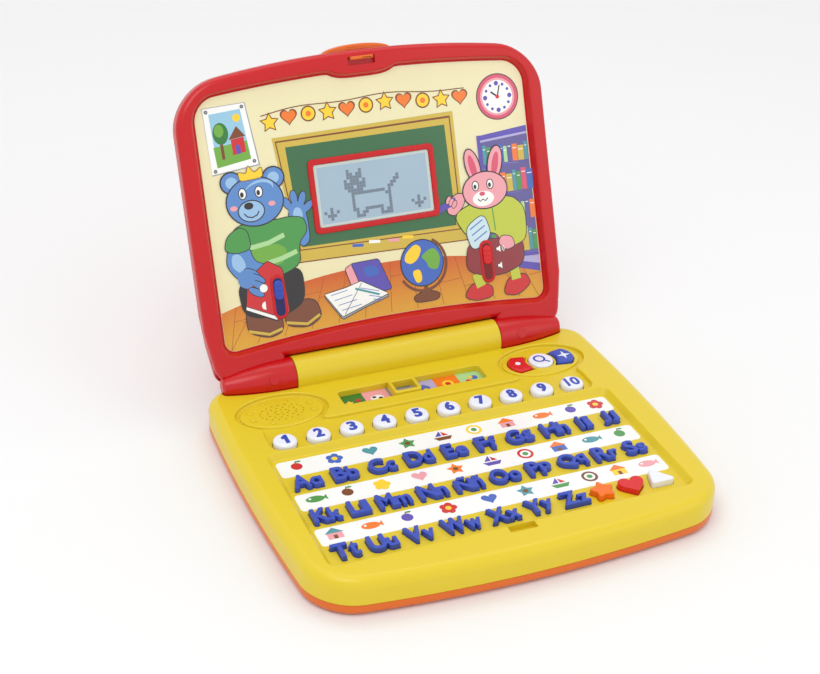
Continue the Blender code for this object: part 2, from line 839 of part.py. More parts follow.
def keys(deck, materials):
    for letter, x, y, width in letter_places():
        letter_key(deck, materials["blue"], letter, x, y, width)
    colours = {"star": "orange", "heart": "red", "triangle": "white"}
    flanges = dict(shape_keys_outlines(1.4))
    for kind, outline in shape_keys_outlines(0.0):
        flat_key(deck, materials[colours[kind]], f"{kind}_key", outline, flanges[kind], 0.0, LETTER_TOP)
    for index in range(10):
        x = number_x(index)
        outline = ellipse(x, NUMBER_Y, NUMBER_RADIUS, NUMBER_RADIUS, ROUND_STEPS)
        flange = ellipse(x, NUMBER_Y, NUMBER_RADIUS + 1.6, NUMBER_RADIUS + 1.6, ROUND_STEPS)
        flat_key(deck, materials["white"], f"number_key_{index + 1}", outline, flange, BAND_Z, NUMBER_TOP)
    radius = ROUND_KEY_RADIUS
    outline = ellipse(OVAL_X, OVAL_Y, radius, radius, ROUND_STEPS)
    flange = ellipse(OVAL_X, OVAL_Y, radius + 1.0, radius + 1.0, ROUND_STEPS)
    flat_key(deck, materials["white"], "round_function_key", outline, flange, OVAL_MOAT_Z, FUNCTION_KEY_Z)
    for side, name, slot in ((-1, "left_function_key", "red"), (1, "right_function_key", "blue")):
        outline, flange = wing_outline(side, 0.0), wing_outline(side, 0.9)
        flat_key(deck, materials[slot], name, outline, flange, OVAL_MOAT_Z, FUNCTION_KEY_Z)


# ---------------------------------------------------------------- lid

def lid_front(lid, material):
    bm = bmesh.new()
    floor = -2 * GAP
    rings = [
        level(picture_outline(1.5), floor - WALL),
        level(picture_outline(4.6), BEZEL_W - 2.4),
        level(lid_outline(WALL + 0.6, LID_FRONT_BOTTOM), BEZEL_W - 3.0),
        level(lid_outline(WALL, LID_FRONT_BOTTOM), SEAM_W + GAP / 2),
        level(lid_outline(0.0, LID_FRONT_BOTTOM), SEAM_W + GAP / 2),
        level(lid_outline(0.0, LID_FRONT_BOTTOM), 0.5),
        level(lid_outline(0.8, LID_FRONT_BOTTOM), 2.9),
        level(lid_outline(2.4, LID_FRONT_BOTTOM), 4.4),
        level(lid_outline(4.8, LID_FRONT_BOTTOM), BEZEL_W),
        level(picture_outline(3.0), BEZEL_W),
        level(picture_outline(0.4), floor),
    ]
    loft(bm, rings)
    front = place("lid_front", bm, lid, material)
    join(front, helper("lid_front_pads", lid, lid_front_pads))
    cut(front, helper("lid_front_openings", lid, lid_front_openings))
    return front


def slider_pad(side, grow):
    return rounded_box(
        side * SLIDER_X, SLIDER_V, SLIDER_HALF_WIDTH + grow, SLIDER_HALF_LENGTH + grow, SLIDER_HALF_WIDTH + grow, 4
    )


def lcd_frame(grow):
    middle = (LCD_BOTTOM + LCD_TOP) / 2
    half = (LCD_TOP - LCD_BOTTOM) / 2
    return rounded_box(0, middle, LCD_HALF_WIDTH + grow, half + grow, 3.0, 2)


def lid_front_pads(bm):
    """The raised frame round the display and the pad under each slide switch."""
    prism(bm, lcd_frame(0), -1.2, LCD_FRAME_W)
    for side in (-1, 1):
        prism(bm, slider_pad(side, 0), -1.2, SLIDER_PAD_W)


def lid_front_openings(bm):
    """The display opening, the two switch slots and the latch slot."""
    prism(bm, lcd_frame(-LCD_FRAME), -6, 9)
    for side in (-1, 1):
        prism(bm, rounded_box(side * SLIDER_X, SLIDER_V, 1.8, 12.5, 1.0, 1), -6, 9)
    box(bm, -9.5, 9.5, HOOK_V - 4.7, HOOK_V + 1.5, -6, 9)


def lid_back(lid, material):
    bm = bmesh.new()
    rim = SEAM_W - GAP / 2
    bottom = LID_BACK_BOTTOM
    loft(
        bm,
        [
            level(lid_outline(5.5, bottom), LID_BACK_W + WALL),
            level(lid_outline(WALL, bottom), LID_BACK_W + WALL + 3),
            level(lid_outline(WALL, bottom), rim),
            level(lid_outline(0.0, bottom), rim),
            level(lid_outline(0.0, bottom), LID_BACK_W + 5),
            level(lid_outline(1.6, bottom), LID_BACK_W + 1.6),
            level(lid_outline(5.0, bottom), LID_BACK_W),
        ],
    )
    back = place("lid_back", bm, lid, material)
    for side, name in ((-1, "left"), (1, "right")):
        join(back, helper(f"{name}_knuckle", lid, lambda bm: knuckle_body(bm, side)))
    cut(back, helper("barrel_clearance", lid, barrel_clearance), helper("latch_notch", lid, latch_notch))
    for side, name in ((-1, "left"), (1, "right")):
        join(back, helper(f"{name}_hinge_pin", lid, lambda bm: hinge_pin(bm, side)))
    return back


def knuckle_body(bm, side):
    turned_along_x(bm, HINGE_V, HINGE_W, knuckle_profile(side, 0.0, BARREL_HALF_WIDTH + 0.35))


def hinge_pin(bm, side):
    inner = BARREL_HALF_WIDTH + 0.35
    profile = [(side * (inner - PIN_LENGTH), PIN_RADIUS), (side * (inner + 1.0), PIN_RADIUS)]
    turned_along_x(bm, HINGE_V, HINGE_W, profile)


def barrel_clearance(bm):
    ends = BARREL_HALF_WIDTH + 0.35
    turned_along_x(bm, HINGE_V, HINGE_W, [(-ends, BARREL_RADIUS + 0.6), (ends, BARREL_RADIUS + 0.6)], count=28)


def latch_notch(bm):
    half = LATCH_HALF_WIDTH + 0.5
    box(bm, -half, half, LID_TOP - 12, LID_TOP + 5, SEAM_W - 5.2, SEAM_W + 1)


def lid_picture(lid, material):
    """The printed sheet in the recess, with openings for the display frame and the switch pads."""
    bm = bmesh.new()
    prism(bm, picture_outline(-0.3), -GAP, 0.0)
    sheet = place("lid_picture", bm, lid, material)

    def openings(bm):
        prism(bm, lcd_frame(GAP), -3, 3)
        for side in (-1, 1):
            prism(bm, slider_pad(side, GAP), -3, 3)

    cut(sheet, helper("picture_openings", lid, openings))
    return sheet


def display(lid, materials):
    bm = bmesh.new()
    prism(bm, lcd_frame(-LCD_FRAME - GAP), -1.9, -0.6)
    place("lcd_window", bm, lid, materials["clear"])

    bm = bmesh.new()
    half = LCD_HALF_WIDTH
    box(bm, -half, half, LCD_BOTTOM, LCD_TOP, -6.0, -3.2)
    place("lcd_module", bm, lid, materials["grey"])


def slider(lid, material, name, side):
    """A knob at the upper end of its slot, with a stem through it and a foot behind."""
    bm = bmesh.new()
    x = side * SLIDER_X
    v = SLIDER_V + SLIDER_TRAVEL / 2
    knob = rounded_box(x, v, 3.6, 7.0, 2.4, 3)
    crown = rounded_box(x, v, 2.9, 6.3, 1.9, 3)
    stem = rounded_box(x, v, 1.3, 5.0, 0.6, 3)
    foot = rounded_box(x, v, 4.0, 7.0, 0.6, 3)
    back = -2 * GAP - WALL - GAP
    rings = [
        level(foot, back - 1.5),
        level(foot, back),
        level(stem, back),
        level(stem, SLIDER_PAD_W + GAP),
        level(knob, SLIDER_PAD_W + GAP),
        level(knob, 2.6),
        level(crown, 3.2),
    ]
    loft(bm, rings)
    return place(name, bm, lid, material, origin=(x, v, SLIDER_PAD_W))


def latch(lid, material):
    """A plate inside the lid with the finger tab at its tip, and the hook that stands out of the bezel."""
    bm = bmesh.new()
    back, front = SEAM_W - 4.6, SEAM_W - 0.6
    tab = rounded_outline(-LATCH_HALF_WIDTH, LATCH_HALF_WIDTH, 212.5, LATCH_TIP, 2, 9, 4)
    loft(bm, [level(tab, back), level(tab, front)])
    piece = place("latch", bm, lid, material, origin=(0, HOOK_V, 0))

    def hook(bm):
        profile = [
            (HOOK_V, front - 1),
            (HOOK_V + HOOK_THICK, front - 1),
            (HOOK_V + HOOK_THICK, 8.2),
            (HOOK_V + 3.1, 8.4),
            (HOOK_V + 2.1, 9.6),
            (HOOK_V, 9.6),
        ]
        loft(bm, [[(x, v, w) for v, w in profile] for x in (-7.0, 7.0)])

    join(piece, helper("latch_hook", lid, hook))
    return piece


def build():
    clear_scene()
    materials = {
        "yellow": plastic("yellow_plastic", (0.78, 0.61, 0.03)),
        "orange": plastic("orange_plastic", (0.75, 0.16, 0.01)),
        "red": plastic("red_plastic", (0.6, 0.004, 0.01)),
        "blue": plastic("blue_plastic", (0.045, 0.08, 0.52)),
        "white": plastic("white_plastic", (0.8, 0.8, 0.85)),
        "board": plastic("board_laminate", (0.05, 0.25, 0.08), 0.5),
        "dark": plastic("speaker_black", (0.03, 0.03, 0.03), 0.6),
        "card": plastic("printed_card", (0.6, 0.7, 0.4), 0.5),
        "cells": plastic("battery_sleeve", (0.08, 0.08, 0.09), 0.35, 0.4),
        "picture": plastic("printed_picture", (0.8, 0.72, 0.45), 0.25),
        "grey": plastic("display_grey", (0.35, 0.42, 0.44), 0.3),
        "clear": plastic("display_window", (0.6, 0.68, 0.7), 0.05),
    }
    deck = design_frame("deck_frame", (0, -CENTRE_Y * MM, -GROUND_Z * MM), (0, 0, 0))
    hinge_place = (0, (HINGE_Y - CENTRE_Y) * MM, (HINGE_Z - GROUND_Z) * MM)
    lid = design_frame("lid_hinge_axis", hinge_place, (0, HINGE_V, HINGE_W), LID_ANGLE)

    top_case(deck, materials["yellow"])
    hinge_barrel(deck, materials["yellow"])
    bottom_case(deck, materials["orange"])
    battery_door(deck, materials["orange"])
    battery_cells(deck, materials["cells"])
    inner_pieces(deck, materials)
    mode_cursor(deck, materials["yellow"])
    keys(deck, materials)
    lid_front(lid, materials["red"])
    lid_back(lid, materials["red"])
    lid_picture(lid, materials["picture"])
    display(lid, materials)
    slider(lid, materials["blue"], "contrast_slider", -1)
    slider(lid, materials["red"], "volume_slider", 1)
    latch(lid, materials["orange"])


build()
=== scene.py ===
import json
import math

import bmesh
import bpy
import numpy as np
from mathutils import Matrix, Vector
from mathutils.geometry import delaunay_2d_cdt


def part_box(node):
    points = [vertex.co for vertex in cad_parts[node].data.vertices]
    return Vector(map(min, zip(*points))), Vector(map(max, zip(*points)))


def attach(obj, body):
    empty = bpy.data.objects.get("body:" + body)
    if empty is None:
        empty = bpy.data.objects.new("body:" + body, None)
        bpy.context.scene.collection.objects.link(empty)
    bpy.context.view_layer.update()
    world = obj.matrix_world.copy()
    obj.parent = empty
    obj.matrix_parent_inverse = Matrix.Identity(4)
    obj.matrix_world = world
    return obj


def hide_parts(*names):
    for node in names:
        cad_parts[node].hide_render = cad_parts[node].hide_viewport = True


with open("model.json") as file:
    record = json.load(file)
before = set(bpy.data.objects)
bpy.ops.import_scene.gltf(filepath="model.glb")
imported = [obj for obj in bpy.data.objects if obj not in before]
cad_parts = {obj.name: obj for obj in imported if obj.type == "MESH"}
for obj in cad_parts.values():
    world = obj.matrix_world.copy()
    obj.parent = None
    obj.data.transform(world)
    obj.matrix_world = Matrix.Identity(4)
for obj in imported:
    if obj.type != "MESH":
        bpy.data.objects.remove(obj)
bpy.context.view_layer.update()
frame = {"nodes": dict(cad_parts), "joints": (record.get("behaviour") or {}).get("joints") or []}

# Sizes are in millimetres. The deck frame has x right, y back and z up from the floor of the keyboard tray.
# The lid frame has x right, v up along the lid and w out of its picture side.
MM = 0.001
BASE_MID_X = 1.8
BASE_HALF_WIDTH = 150.2
BASE_FRONT = -111.0
BASE_BACK = 136.5
BASE_WIDEST_Y = 35.0
FRONT_RADIUS = 30.0
BACK_RADIUS = 20.0
SIDE_BOW = 0.00033
FRONT_BOW = 0.000514
WALL = 2.0
SEAM_GAP = 0.15
PARTING_Z = -14.0
GROUND_Z = -22.5
DECK_Z = 4.5
FLOOR_Z = 1.5
DISC_Z = 3.2
PIT_Z = -3.0
CEILING_Z = -3.4
TRAY_HALF_WIDTH = 125.0
TRAY_FRONT = -79.5
TRAY_BACK = 41.0
KEY_FOOT_Z = -1.0
KEY_GAP = 0.4
MARK_SUNK = 0.4
MARK_RAISED = 0.12
LETTER_TOP = 3.9
LETTER_HEIGHT = 14.5
LETTER_SHIFT = 1.4
SHAPE_KEY_TOP = 4.6
NUMBER_TOP = 5.9
NUMBER_RADIUS = 8.3
KEYS_TOP = 5.0
ROUND_KEY_RADIUS = 9.3
OVAL_X = 100.5
OVAL_Y = 93.0
OVAL_HALF = (33.5, 21.4)
WINDOW = (-1.5, 93.5, 55.0, 9.0)
HINGE_Y = 131.0
HINGE_Z = 7.6
BARREL_RADIUS = 13.4
BARREL_HALF_WIDTH = 79.8
KNUCKLE_END_X = 133.0
KNUCKLE_END_RADIUS = 6.5
LID_ANGLE = math.radians(68.55)
LID_FOOT_Y = 130.8
HINGE_V = (HINGE_Y - LID_FOOT_Y) * math.cos(LID_ANGLE) + HINGE_Z * math.sin(LID_ANGLE)
HINGE_W = HINGE_Z * math.cos(LID_ANGLE) - (HINGE_Y - LID_FOOT_Y) * math.sin(LID_ANGLE)
LID_HALF_WIDTH = 139.8
LID_TOP = 230.5
LID_RADIUS = 33.0
LID_FOOT_RADIUS = 7.0
LID_FRONT_BOTTOM = 21.0
LID_BACK_BOTTOM = 8.7
LID_BOW = 0.00067
LID_TAPER_START = 50.0
LID_TAPER = 0.001
BEZEL_W = 5.0
BEZEL_EDGE = 4.8
SEAM_W = -3.0
LID_BACK_W = -12.0
PICTURE_HALF_WIDTH = 125.7
PICTURE_FOOT = 36.7
PICTURE_TOP = 216.0
PICTURE_BOW = 0.00048
PICTURE_W = -0.35
DISPLAY_V = 130.45
DISPLAY_HALF = (48.6, 26.85)
SLIDER_X = 81.6
SLIDER_V = 64.0
LATCH_HALF_WIDTH = 26.0
HOOK_V = 224.6

hinge_place = Vector(next(j for j in frame["joints"] if j["name"] == "lid_hinge")["pos_m"])
DECK = Matrix.Translation(hinge_place - Vector((0, HINGE_Y, HINGE_Z)) * MM)
LID_TURN = Matrix.Rotation(LID_ANGLE, 4, "X")
LID = Matrix.Translation(hinge_place) @ LID_TURN @ Matrix.Translation(-Vector((0, HINGE_V, HINGE_W)) * MM)


# ---------------------------------------------------------------- materials

def linear(color):
    return tuple((c / 255 / 12.92) if c < 10.3 else ((c / 255 + 0.055) / 1.055) ** 2.4 for c in color)


def moulded(name, color, rough=0.3, coat=0.0, mottle=0.006, grain=0.003, far_color=None):
    """Moulded or printed plastic: faint mottling, uneven gloss and a fine grain, from noise in object space.

    With a far color, a printed fade runs up the picture between two heights.
    """
    material = bpy.data.materials.new(name)
    material.use_nodes = True
    tree = material.node_tree
    shader = tree.nodes["Principled BSDF"]

    def node(kind, settings, data_type=None):
        """A node whose inputs are set to plain values or linked to other nodes' outputs."""
        made = tree.nodes.new("ShaderNode" + kind)
        if data_type:
            made.data_type = data_type
        feed(made, settings)
        return made

    def feed(made, settings):
        for key, value in settings.items():
            if isinstance(value, bpy.types.NodeSocket):
                tree.links.new(value, made.inputs[key])
            else:
                made.inputs[key].default_value = value

    where = tree.nodes.new("ShaderNodeTexCoord").outputs["Object"]

    def noise(scale, detail):
        return node("TexNoise", {"Scale": scale, "Detail": detail, "Vector": where}).outputs["Fac"]

    base = linear(color)
    dark, light = [(*[min(1, c * (1 + change)) for c in base], 1) for change in (-mottle, mottle)]
    paint = node("Mix", {0: noise(38.0, 3.0), 6: dark, 7: light}, "RGBA").outputs[2]
    if far_color:
        height = node("SeparateXYZ", {0: where}).outputs["Y"]
        fade = node("MapRange", {"Value": height, "From Min": 0.030, "From Max": 0.072})
        far = (*linear(far_color), 1)
        paint = node("Mix", {0: fade.outputs["Result"], 6: paint, 7: far}, "RGBA").outputs[2]
    gloss = node("MapRange", {"Value": noise(120.0, 2.0), "From Min": 0.3, "From Max": 0.7,
                              "To Min": rough * 0.94, "To Max": rough * 1.08})
    bump = node("Bump", {"Strength": grain * 10, "Distance": 0.00006, "Height": noise(1560.0, 2.0)})
    feed(shader, {"Base Color": paint, "Roughness": gloss.outputs["Result"], "Normal": bump.outputs["Normal"],
                  "Coat Weight": coat, "Coat Roughness": 0.12})
    return material


YELLOW = moulded("yellow case plastic", (222, 196, 34), 0.3)
ORANGE = moulded("orange case plastic", (222, 104, 16), 0.32)
RED = moulded("red lid plastic", (196, 4, 14), 0.24)
# Painted shade: a darker red for the flat sheet that stands for the shaded inside of the volume switch's slot.
SHADED_RED_SLOT = moulded("painted shade red slot", (120, 8, 14), 0.4)
BLUE_KEY = moulded("blue key plastic", (48, 74, 180), 0.3)
WHITE_KEY = moulded("white key plastic", (232, 235, 246), 0.26)
RED_KEY = moulded("red key plastic", (214, 22, 30), 0.26)
ORANGE_KEY = moulded("orange key plastic", (240, 110, 20), 0.28)
# Painted shade: a darker blue for the flat sheet that stands for the shaded inside of the contrast switch's
# slot.
SHADED_BLUE_SLOT = moulded("painted shade blue slot", (20, 26, 92), 0.4)
PANEL = moulded("display panel", (196, 210, 206), 0.16, coat=0.6, mottle=0.02)
STEEL = moulded("plated screw", (150, 150, 150), 0.25)
BOARD = moulded("board laminate", (25, 100, 50), 0.5)
BLACK = moulded("speaker paper", (30, 30, 32), 0.7)
SLEEVE = moulded("battery sleeve", (40, 42, 46), 0.35)

PRINT_COLORS = {
    "wall": (234, 226, 182), "white": (245, 246, 244), "black": (34, 30, 34), "brown": (120, 62, 22),
    "wood": (206, 178, 66), "board": (48, 104, 62), "sky": (150, 200, 225), "grass": (110, 170, 60),
    "leaf": (40, 120, 50), "red": (205, 30, 36), "purple": (88, 74, 176), "violet": (92, 84, 150),
    "blue": (60, 100, 190), "teal": (70, 150, 160), "bear": (88, 136, 200), "bearlight": (150, 190, 228),
    "green": (70, 150, 70), "mint": (170, 215, 150), "pink": (236, 160, 170), "rose": (215, 80, 110),
    "jacket": (190, 200, 60), "maroon": (140, 40, 50), "paper": (200, 225, 235), "yellow": (250, 208, 40),
    "orange": (240, 120, 30), "shoe": (120, 66, 40), "lavender": (176, 170, 214), "grey": (150, 154, 160),
    "pixel": (112, 126, 142), "lcd": (160, 184, 202), "plank": (170, 88, 20),
}
PRINT = {name: moulded(f"print {name}", c, 0.22, 0.5, 0.03, 0.006) for name, c in PRINT_COLORS.items()}
PRINT["floor"] = moulded("print floor", (222, 172, 40), 0.22, 0.5, 0.05, 0.006, far_color=(206, 92, 22))


# ---------------------------------------------------------------- outlines and shapes

def arc(x, y, rx, ry, start=0.0, end=360.0, count=48):
    """Points along an ellipse. A full turn leaves out its last point."""
    whole = end - start == 360.0
    steps = count if whole else count - 1
    turns = [math.radians(start + (end - start) * i / steps) for i in range(count)]
    return [(x + rx * math.cos(t), y + ry * math.sin(t)) for t in turns]


def rounded(x0, x1, y0, y1, front, back, corner=10, edges=(1, 1, 1, 1)):
    """A rounded rectangle, anticlockwise from its front right corner, with its edges cut into steps."""
    corners = ((x1, y0, front, -90), (x1, y1, back, 0), (x0, y1, back, 90), (x0, y0, front, 180))
    points = []
    for index, (x, y, radius, start) in enumerate(corners):
        cx = x - math.copysign(radius, x - (x0 + x1) / 2)
        cy = y - math.copysign(radius, y - (y0 + y1) / 2)
        points += arc(cx, cy, radius, radius, start, start + 90, corner + 1)
        nx, ny, nr, ns = corners[(index + 1) % 4]
        end = (
            nx - math.copysign(nr, nx - (x0 + x1) / 2) + nr * math.cos(math.radians(ns)),
            ny - math.copysign(nr, ny - (y0 + y1) / 2) + nr * math.sin(math.radians(ns)),
        )
        last = points[-1]
        count = edges[(index + 1) % 4]
        points += [tuple(a + (b - a) * i / count for a, b in zip(last, end)) for i in range(1, count)]
    return points


def pill(x, y, half_x, half_y, radius, corner=8):
    return rounded(x - half_x, x + half_x, y - half_y, y + half_y, radius, radius, corner)


def base_outline(inset):
    """The case from above, with a bowed front and sides that are widest near the back."""
    left, right = BASE_MID_X - BASE_HALF_WIDTH, BASE_MID_X + BASE_HALF_WIDTH
    points = rounded(left + inset, right - inset, BASE_FRONT + inset, BASE_BACK - inset, FRONT_RADIUS - inset,
                     BACK_RADIUS - inset, 12, (28, 16, 24, 16))
    bowed = []
    for x, y in points:
        share = (BASE_BACK - y) / (BASE_BACK - BASE_FRONT)
        off = x - BASE_MID_X
        bowed.append((x - SIDE_BOW * (y - BASE_WIDEST_Y) ** 2 * off / BASE_HALF_WIDTH,
                      y + FRONT_BOW * off ** 2 * share))
    return bowed


def tapered(x, v):
    """Where the lid narrows towards its foot, in share of its width."""
    return x * (1 - LID_TAPER * max(0.0, LID_TAPER_START - v))


def lid_outline(inset, bottom):
    """The lid from the front, with a bowed top and a narrower foot."""
    points = rounded(-LID_HALF_WIDTH + inset, LID_HALF_WIDTH - inset, bottom + inset, LID_TOP - inset,
                     LID_FOOT_RADIUS - inset, LID_RADIUS - inset, 12, (30, 8, 36, 8))
    return [(tapered(x, v), v - LID_BOW * x * x * (v - bottom) / (LID_TOP - bottom)) for x, v in points]


def picture_outline(grow):
    """The picture's opening in the bezel, which dips below the latch slot."""
    points = rounded(-PICTURE_HALF_WIDTH - grow, PICTURE_HALF_WIDTH + grow, PICTURE_FOOT - grow,
                     PICTURE_TOP + grow, 9 + grow, 16 + grow, 12, (30, 8, 60, 8))
    shaped = []
    for x, v in points:
        dip = 4.5 * max(0.0, 1 - (x / 26) ** 4) if v > PICTURE_TOP / 2 else 0.0
        shaped.append((x, v - PICTURE_BOW * x * x - dip))
    return shaped


def quarter_round(radius, steps):
    """Steps of a quarter round: how far in from the edge and how far below the top."""
    turns = [math.radians(90 * i / steps) for i in range(steps + 1)]
    return [(radius * (1 - math.cos(t)), radius * (1 - math.sin(t))) for t in turns]


def offset(loop, grow):
    """A loop moved outwards by grow along its own normals. Its inside is on the left."""
    p = np.array(loop)
    t = np.roll(p, -1, axis=0) - np.roll(p, 1, axis=0)
    t /= np.maximum(np.hypot(t[:, 0], t[:, 1])[:, None], 1e-9)
    return [tuple(q) for q in p + grow * np.stack([t[:, 1], -t[:, 0]], axis=1)]


def inside_loop(points, loop):
    """Which points lie in a closed loop."""
    a = np.array(loop)
    b = np.roll(a, -1, axis=0)
    low, high = a.min(axis=0), a.max(axis=0)
    near = np.where(((points > low) & (points < high)).all(axis=1))[0]
    found = np.zeros(len(points), bool)
    x, y = points[near, 0:1], points[near, 1:2]
    crosses = (a[:, 1] > y) != (b[:, 1] > y)
    rise = np.where(b[:, 1] == a[:, 1], 1e-12, b[:, 1] - a[:, 1])
    at = a[:, 0] + (y - a[:, 1]) * (b[:, 0] - a[:, 0]) / rise
    found[near] = (crosses & (x < at)).sum(axis=1) % 2 == 1
    return found


def contour(field, xs, ys, value):
    """Closed loops where a field, indexed [y, x], crosses a value. The lower side is on the left."""
    f = field - value
    step, start = {}, {}

    def crossing(a, b):
        (i, j), (k, m) = a, b
        t = f[j, i] / (f[j, i] - f[m, k])
        return (xs[i] + (xs[k] - xs[i]) * t, ys[j] + (ys[m] - ys[j]) * t)

    low = f < 0
    mixed = low[:-1, :-1].astype(int) + low[1:, :-1] + low[:-1, 1:] + low[1:, 1:]
    for j, i in zip(*np.where((mixed > 0) & (mixed < 4))):
        ring = [(i, j), (i + 1, j), (i + 1, j + 1), (i, j + 1)]
        outs, ins = [], []
        for a, b in zip(ring, ring[1:] + ring[:1]):
            la, lb = low[a[1], a[0]], low[b[1], b[0]]
            if la != lb:
                key = (min(a, b), max(a, b))
                start[key] = crossing(a, b)
                (outs if la else ins).append(key)
        for a, b in zip(outs, ins if len(ins) == 1 else ins[::-1] if low[j, i] else ins):
            step[a] = b
    loops = []
    while step:
        key, nxt = step.popitem()
        loop = [start[key]]
        while nxt in step:
            loop.append(start[nxt])
            nxt = step.pop(nxt)
        loops.append(loop)
    # Points that fall almost on each other would spoil the normals.
    tidy = []
    for loop in loops:
        kept = [p for p, q in zip(loop, loop[1:] + loop[:1]) if math.dist(p, q) > (xs[1] - xs[0]) * 0.15]
        if len(kept) > 5:
            tidy.append(kept)
    return tidy


# ---------------------------------------------------------------- meshes

class Shape:
    """Collects faces in a design frame, in millimetres, and makes them one object that rides on a body."""

    def __init__(self, name, body, where, materials, replaces=(), slot=None):
        self.name, self.body, self.where = name, body, where
        self.materials = materials if isinstance(materials, list) else [materials]
        self.nodes, self.slot = replaces, slot
        self.points, self.faces, self.marks = [], [], []
        self.mark = 0

    def add(self, points, faces):
        first = len(self.points)
        self.points += points
        self.faces += [tuple(first + i for i in face) for face in faces]
        self.marks += [self.mark] * len(faces)

    def strip(self, a, b):
        n = len(a)
        self.add(list(a) + list(b), [(i, (i + 1) % n, n + (i + 1) % n, n + i) for i in range(n)])

    def fill(self, loops, z):
        """A flat face at z inside an odd number of the loops."""
        points, edges = [], []
        for loop in loops:
            first, n = len(points), len(loop)
            points += [Vector(p) for p in loop]
            edges += [(first + i, first + (i + 1) % n) for i in range(n)]
        made = delaunay_2d_cdt(points, edges, [], 0, 1e-5)
        verts, faces = np.array([tuple(v) for v in made[0]]), np.array([tuple(f) for f in made[2]])
        middles = verts[faces].mean(axis=1)
        kept = np.zeros(len(faces), bool)
        for loop in loops:
            kept ^= inside_loop(middles, loop)
        self.add([(x, y, z) for x, y in verts], [tuple(f) for f in faces[kept]])

    def walls(self, loops, profile):
        """Bands between copies of each loop. profile is (grow, z) from one end to the other."""
        for loop in loops:
            rings = [[(x, y, z) for x, y in (offset(loop, grow) if grow else loop)] for grow, z in profile]
            for a, b in zip(rings, rings[1:]):
                self.strip(a, b)

    def pad(self, loops, z0, z1, edge=0.8, steps=5):
        """A solid of one outline with a rounded upper edge."""
        self.walls(loops, [(0, z0)] + [(-inward, z1 - down) for inward, down in quarter_round(edge, steps)])
        self.fill([offset(loop, -edge) for loop in loops], z1)
        self.fill(loops, z0)

    def pit(self, loops, z_top, z_floor, rim=0.0, steps=4):
        """A hole with a rounded rim and a flat floor. Returns its outlines in the surface it is cut into."""
        round_rim = [(out, z_top - down) for down, out in quarter_round(rim, steps)] if rim else [(0, z_top)]
        self.walls(loops, round_rim + [(0, z_floor)])
        self.fill(loops, z_floor)
        return [offset(loop, rim) if rim else loop for loop in loops]

    def loft(self, rings, closed=True):
        for a, b in zip(rings, rings[1:]):
            self.strip(a, b)
        if closed:
            for ring in (rings[0], rings[-1]):
                self.fill([[(p[0], p[1]) for p in ring]], ring[0][2])

    def turned(self, centre, axis, profile, count=48):
        """A turned solid about x or z through a centre. profile is (place along the axis, radius)."""
        order = {"x": (2, 0, 1), "z": (0, 1, 2)}[axis]
        rings = [[tuple(centre[k] + (a, b, along)[order[k]] for k in range(3))
                  for a, b in arc(0, 0, radius, radius, count=count)] for along, radius in profile]
        self.loft(rings, closed=False)
        for ring in (rings[0], rings[-1]):
            self.add(list(ring), [tuple(range(count))])

    def done(self, cutters=()):
        """Makes the object. One without a body is a cutter, and a later piece takes it away again."""
        mesh = bpy.data.meshes.new(self.name)
        mesh.from_pydata(self.points, [], self.faces)
        mesh.polygons.foreach_set("material_index", self.marks)
        bm = bmesh.new()
        bm.from_mesh(mesh)
        bmesh.ops.remove_doubles(bm, verts=bm.verts, dist=0.0015)
        bmesh.ops.dissolve_degenerate(bm, edges=bm.edges, dist=0.001)
        bmesh.ops.recalc_face_normals(bm, faces=bm.faces)
        bmesh.ops.scale(bm, vec=(MM, MM, MM), verts=bm.verts)
        bm.to_mesh(mesh)
        bm.free()
        for material in self.materials:
            mesh.materials.append(material)
        obj = bpy.data.objects.new(self.name, mesh)
        obj.matrix_world = self.where
        bpy.context.collection.objects.link(obj)
        if self.body is None:
            return obj
        for cutter in cutters:
            modifier = obj.modifiers.new("cut", "BOOLEAN")
            modifier.operation, modifier.solver, modifier.object = "DIFFERENCE", "EXACT", cutter
        if cutters:
            bpy.context.view_layer.update()
            whole = bpy.data.meshes.new_from_object(obj.evaluated_get(bpy.context.evaluated_depsgraph_get()))
            obj.modifiers.clear()
            obj.data = mesh = whole
            for cutter in cutters:
                bpy.data.objects.remove(cutter)
        mesh.shade_smooth()
        mesh.set_sharp_from_angle(angle=math.radians(32))
        weighted = obj.modifiers.new("even shading", "WEIGHTED_NORMAL")
        weighted.keep_sharp = True
        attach(obj, self.body)
        if self.nodes:
            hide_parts(*self.nodes)
        return obj


# ---------------------------------------------------------------- lettering

def glyph_edges(text):
    """The outline edges of a text, each as two points."""
    curve = bpy.data.curves.new("lettering", "FONT")
    curve.body = text
    curve.fill_mode = "NONE"
    curve.resolution_u = 4
    obj = bpy.data.objects.new("lettering", curve)
    bpy.context.collection.objects.link(obj)
    bpy.context.view_layer.update()
    mesh = bpy.data.meshes.new_from_object(obj.evaluated_get(bpy.context.evaluated_depsgraph_get()))
    bpy.data.objects.remove(obj)
    return np.array([[mesh.vertices[i].co[:2] for i in edge.vertices] for edge in mesh.edges])


def fitted(edges, x0, x1, y0, y1):
    low, high = edges.reshape(-1, 2).min(axis=0), edges.reshape(-1, 2).max(axis=0)
    return (edges - low) / (high - low) * (x1 - x0, y1 - y0) + (x0, y0)


def distance_field(edges, xs, ys):
    """Distance to outlines, negative inside them. Overlapping strokes count as one."""
    px, py = np.meshgrid(xs, ys)
    best = np.full(px.shape, 1e9)
    winding = np.zeros(px.shape, int)
    for (ax, ay), (bx, by) in edges:
        dx, dy = bx - ax, by - ay
        t = np.clip(((px - ax) * dx + (py - ay) * dy) / max(dx * dx + dy * dy, 1e-12), 0, 1)
        best = np.minimum(best, np.hypot(px - ax - t * dx, py - ay - t * dy))
        if ay != by:
            hit = px < ax + (py - ay) * dx / dy
            winding += (hit & (ay <= py) & (by > py)).astype(int) - (hit & (by <= py) & (ay > py)).astype(int)
    return np.where(winding != 0, -best, best)


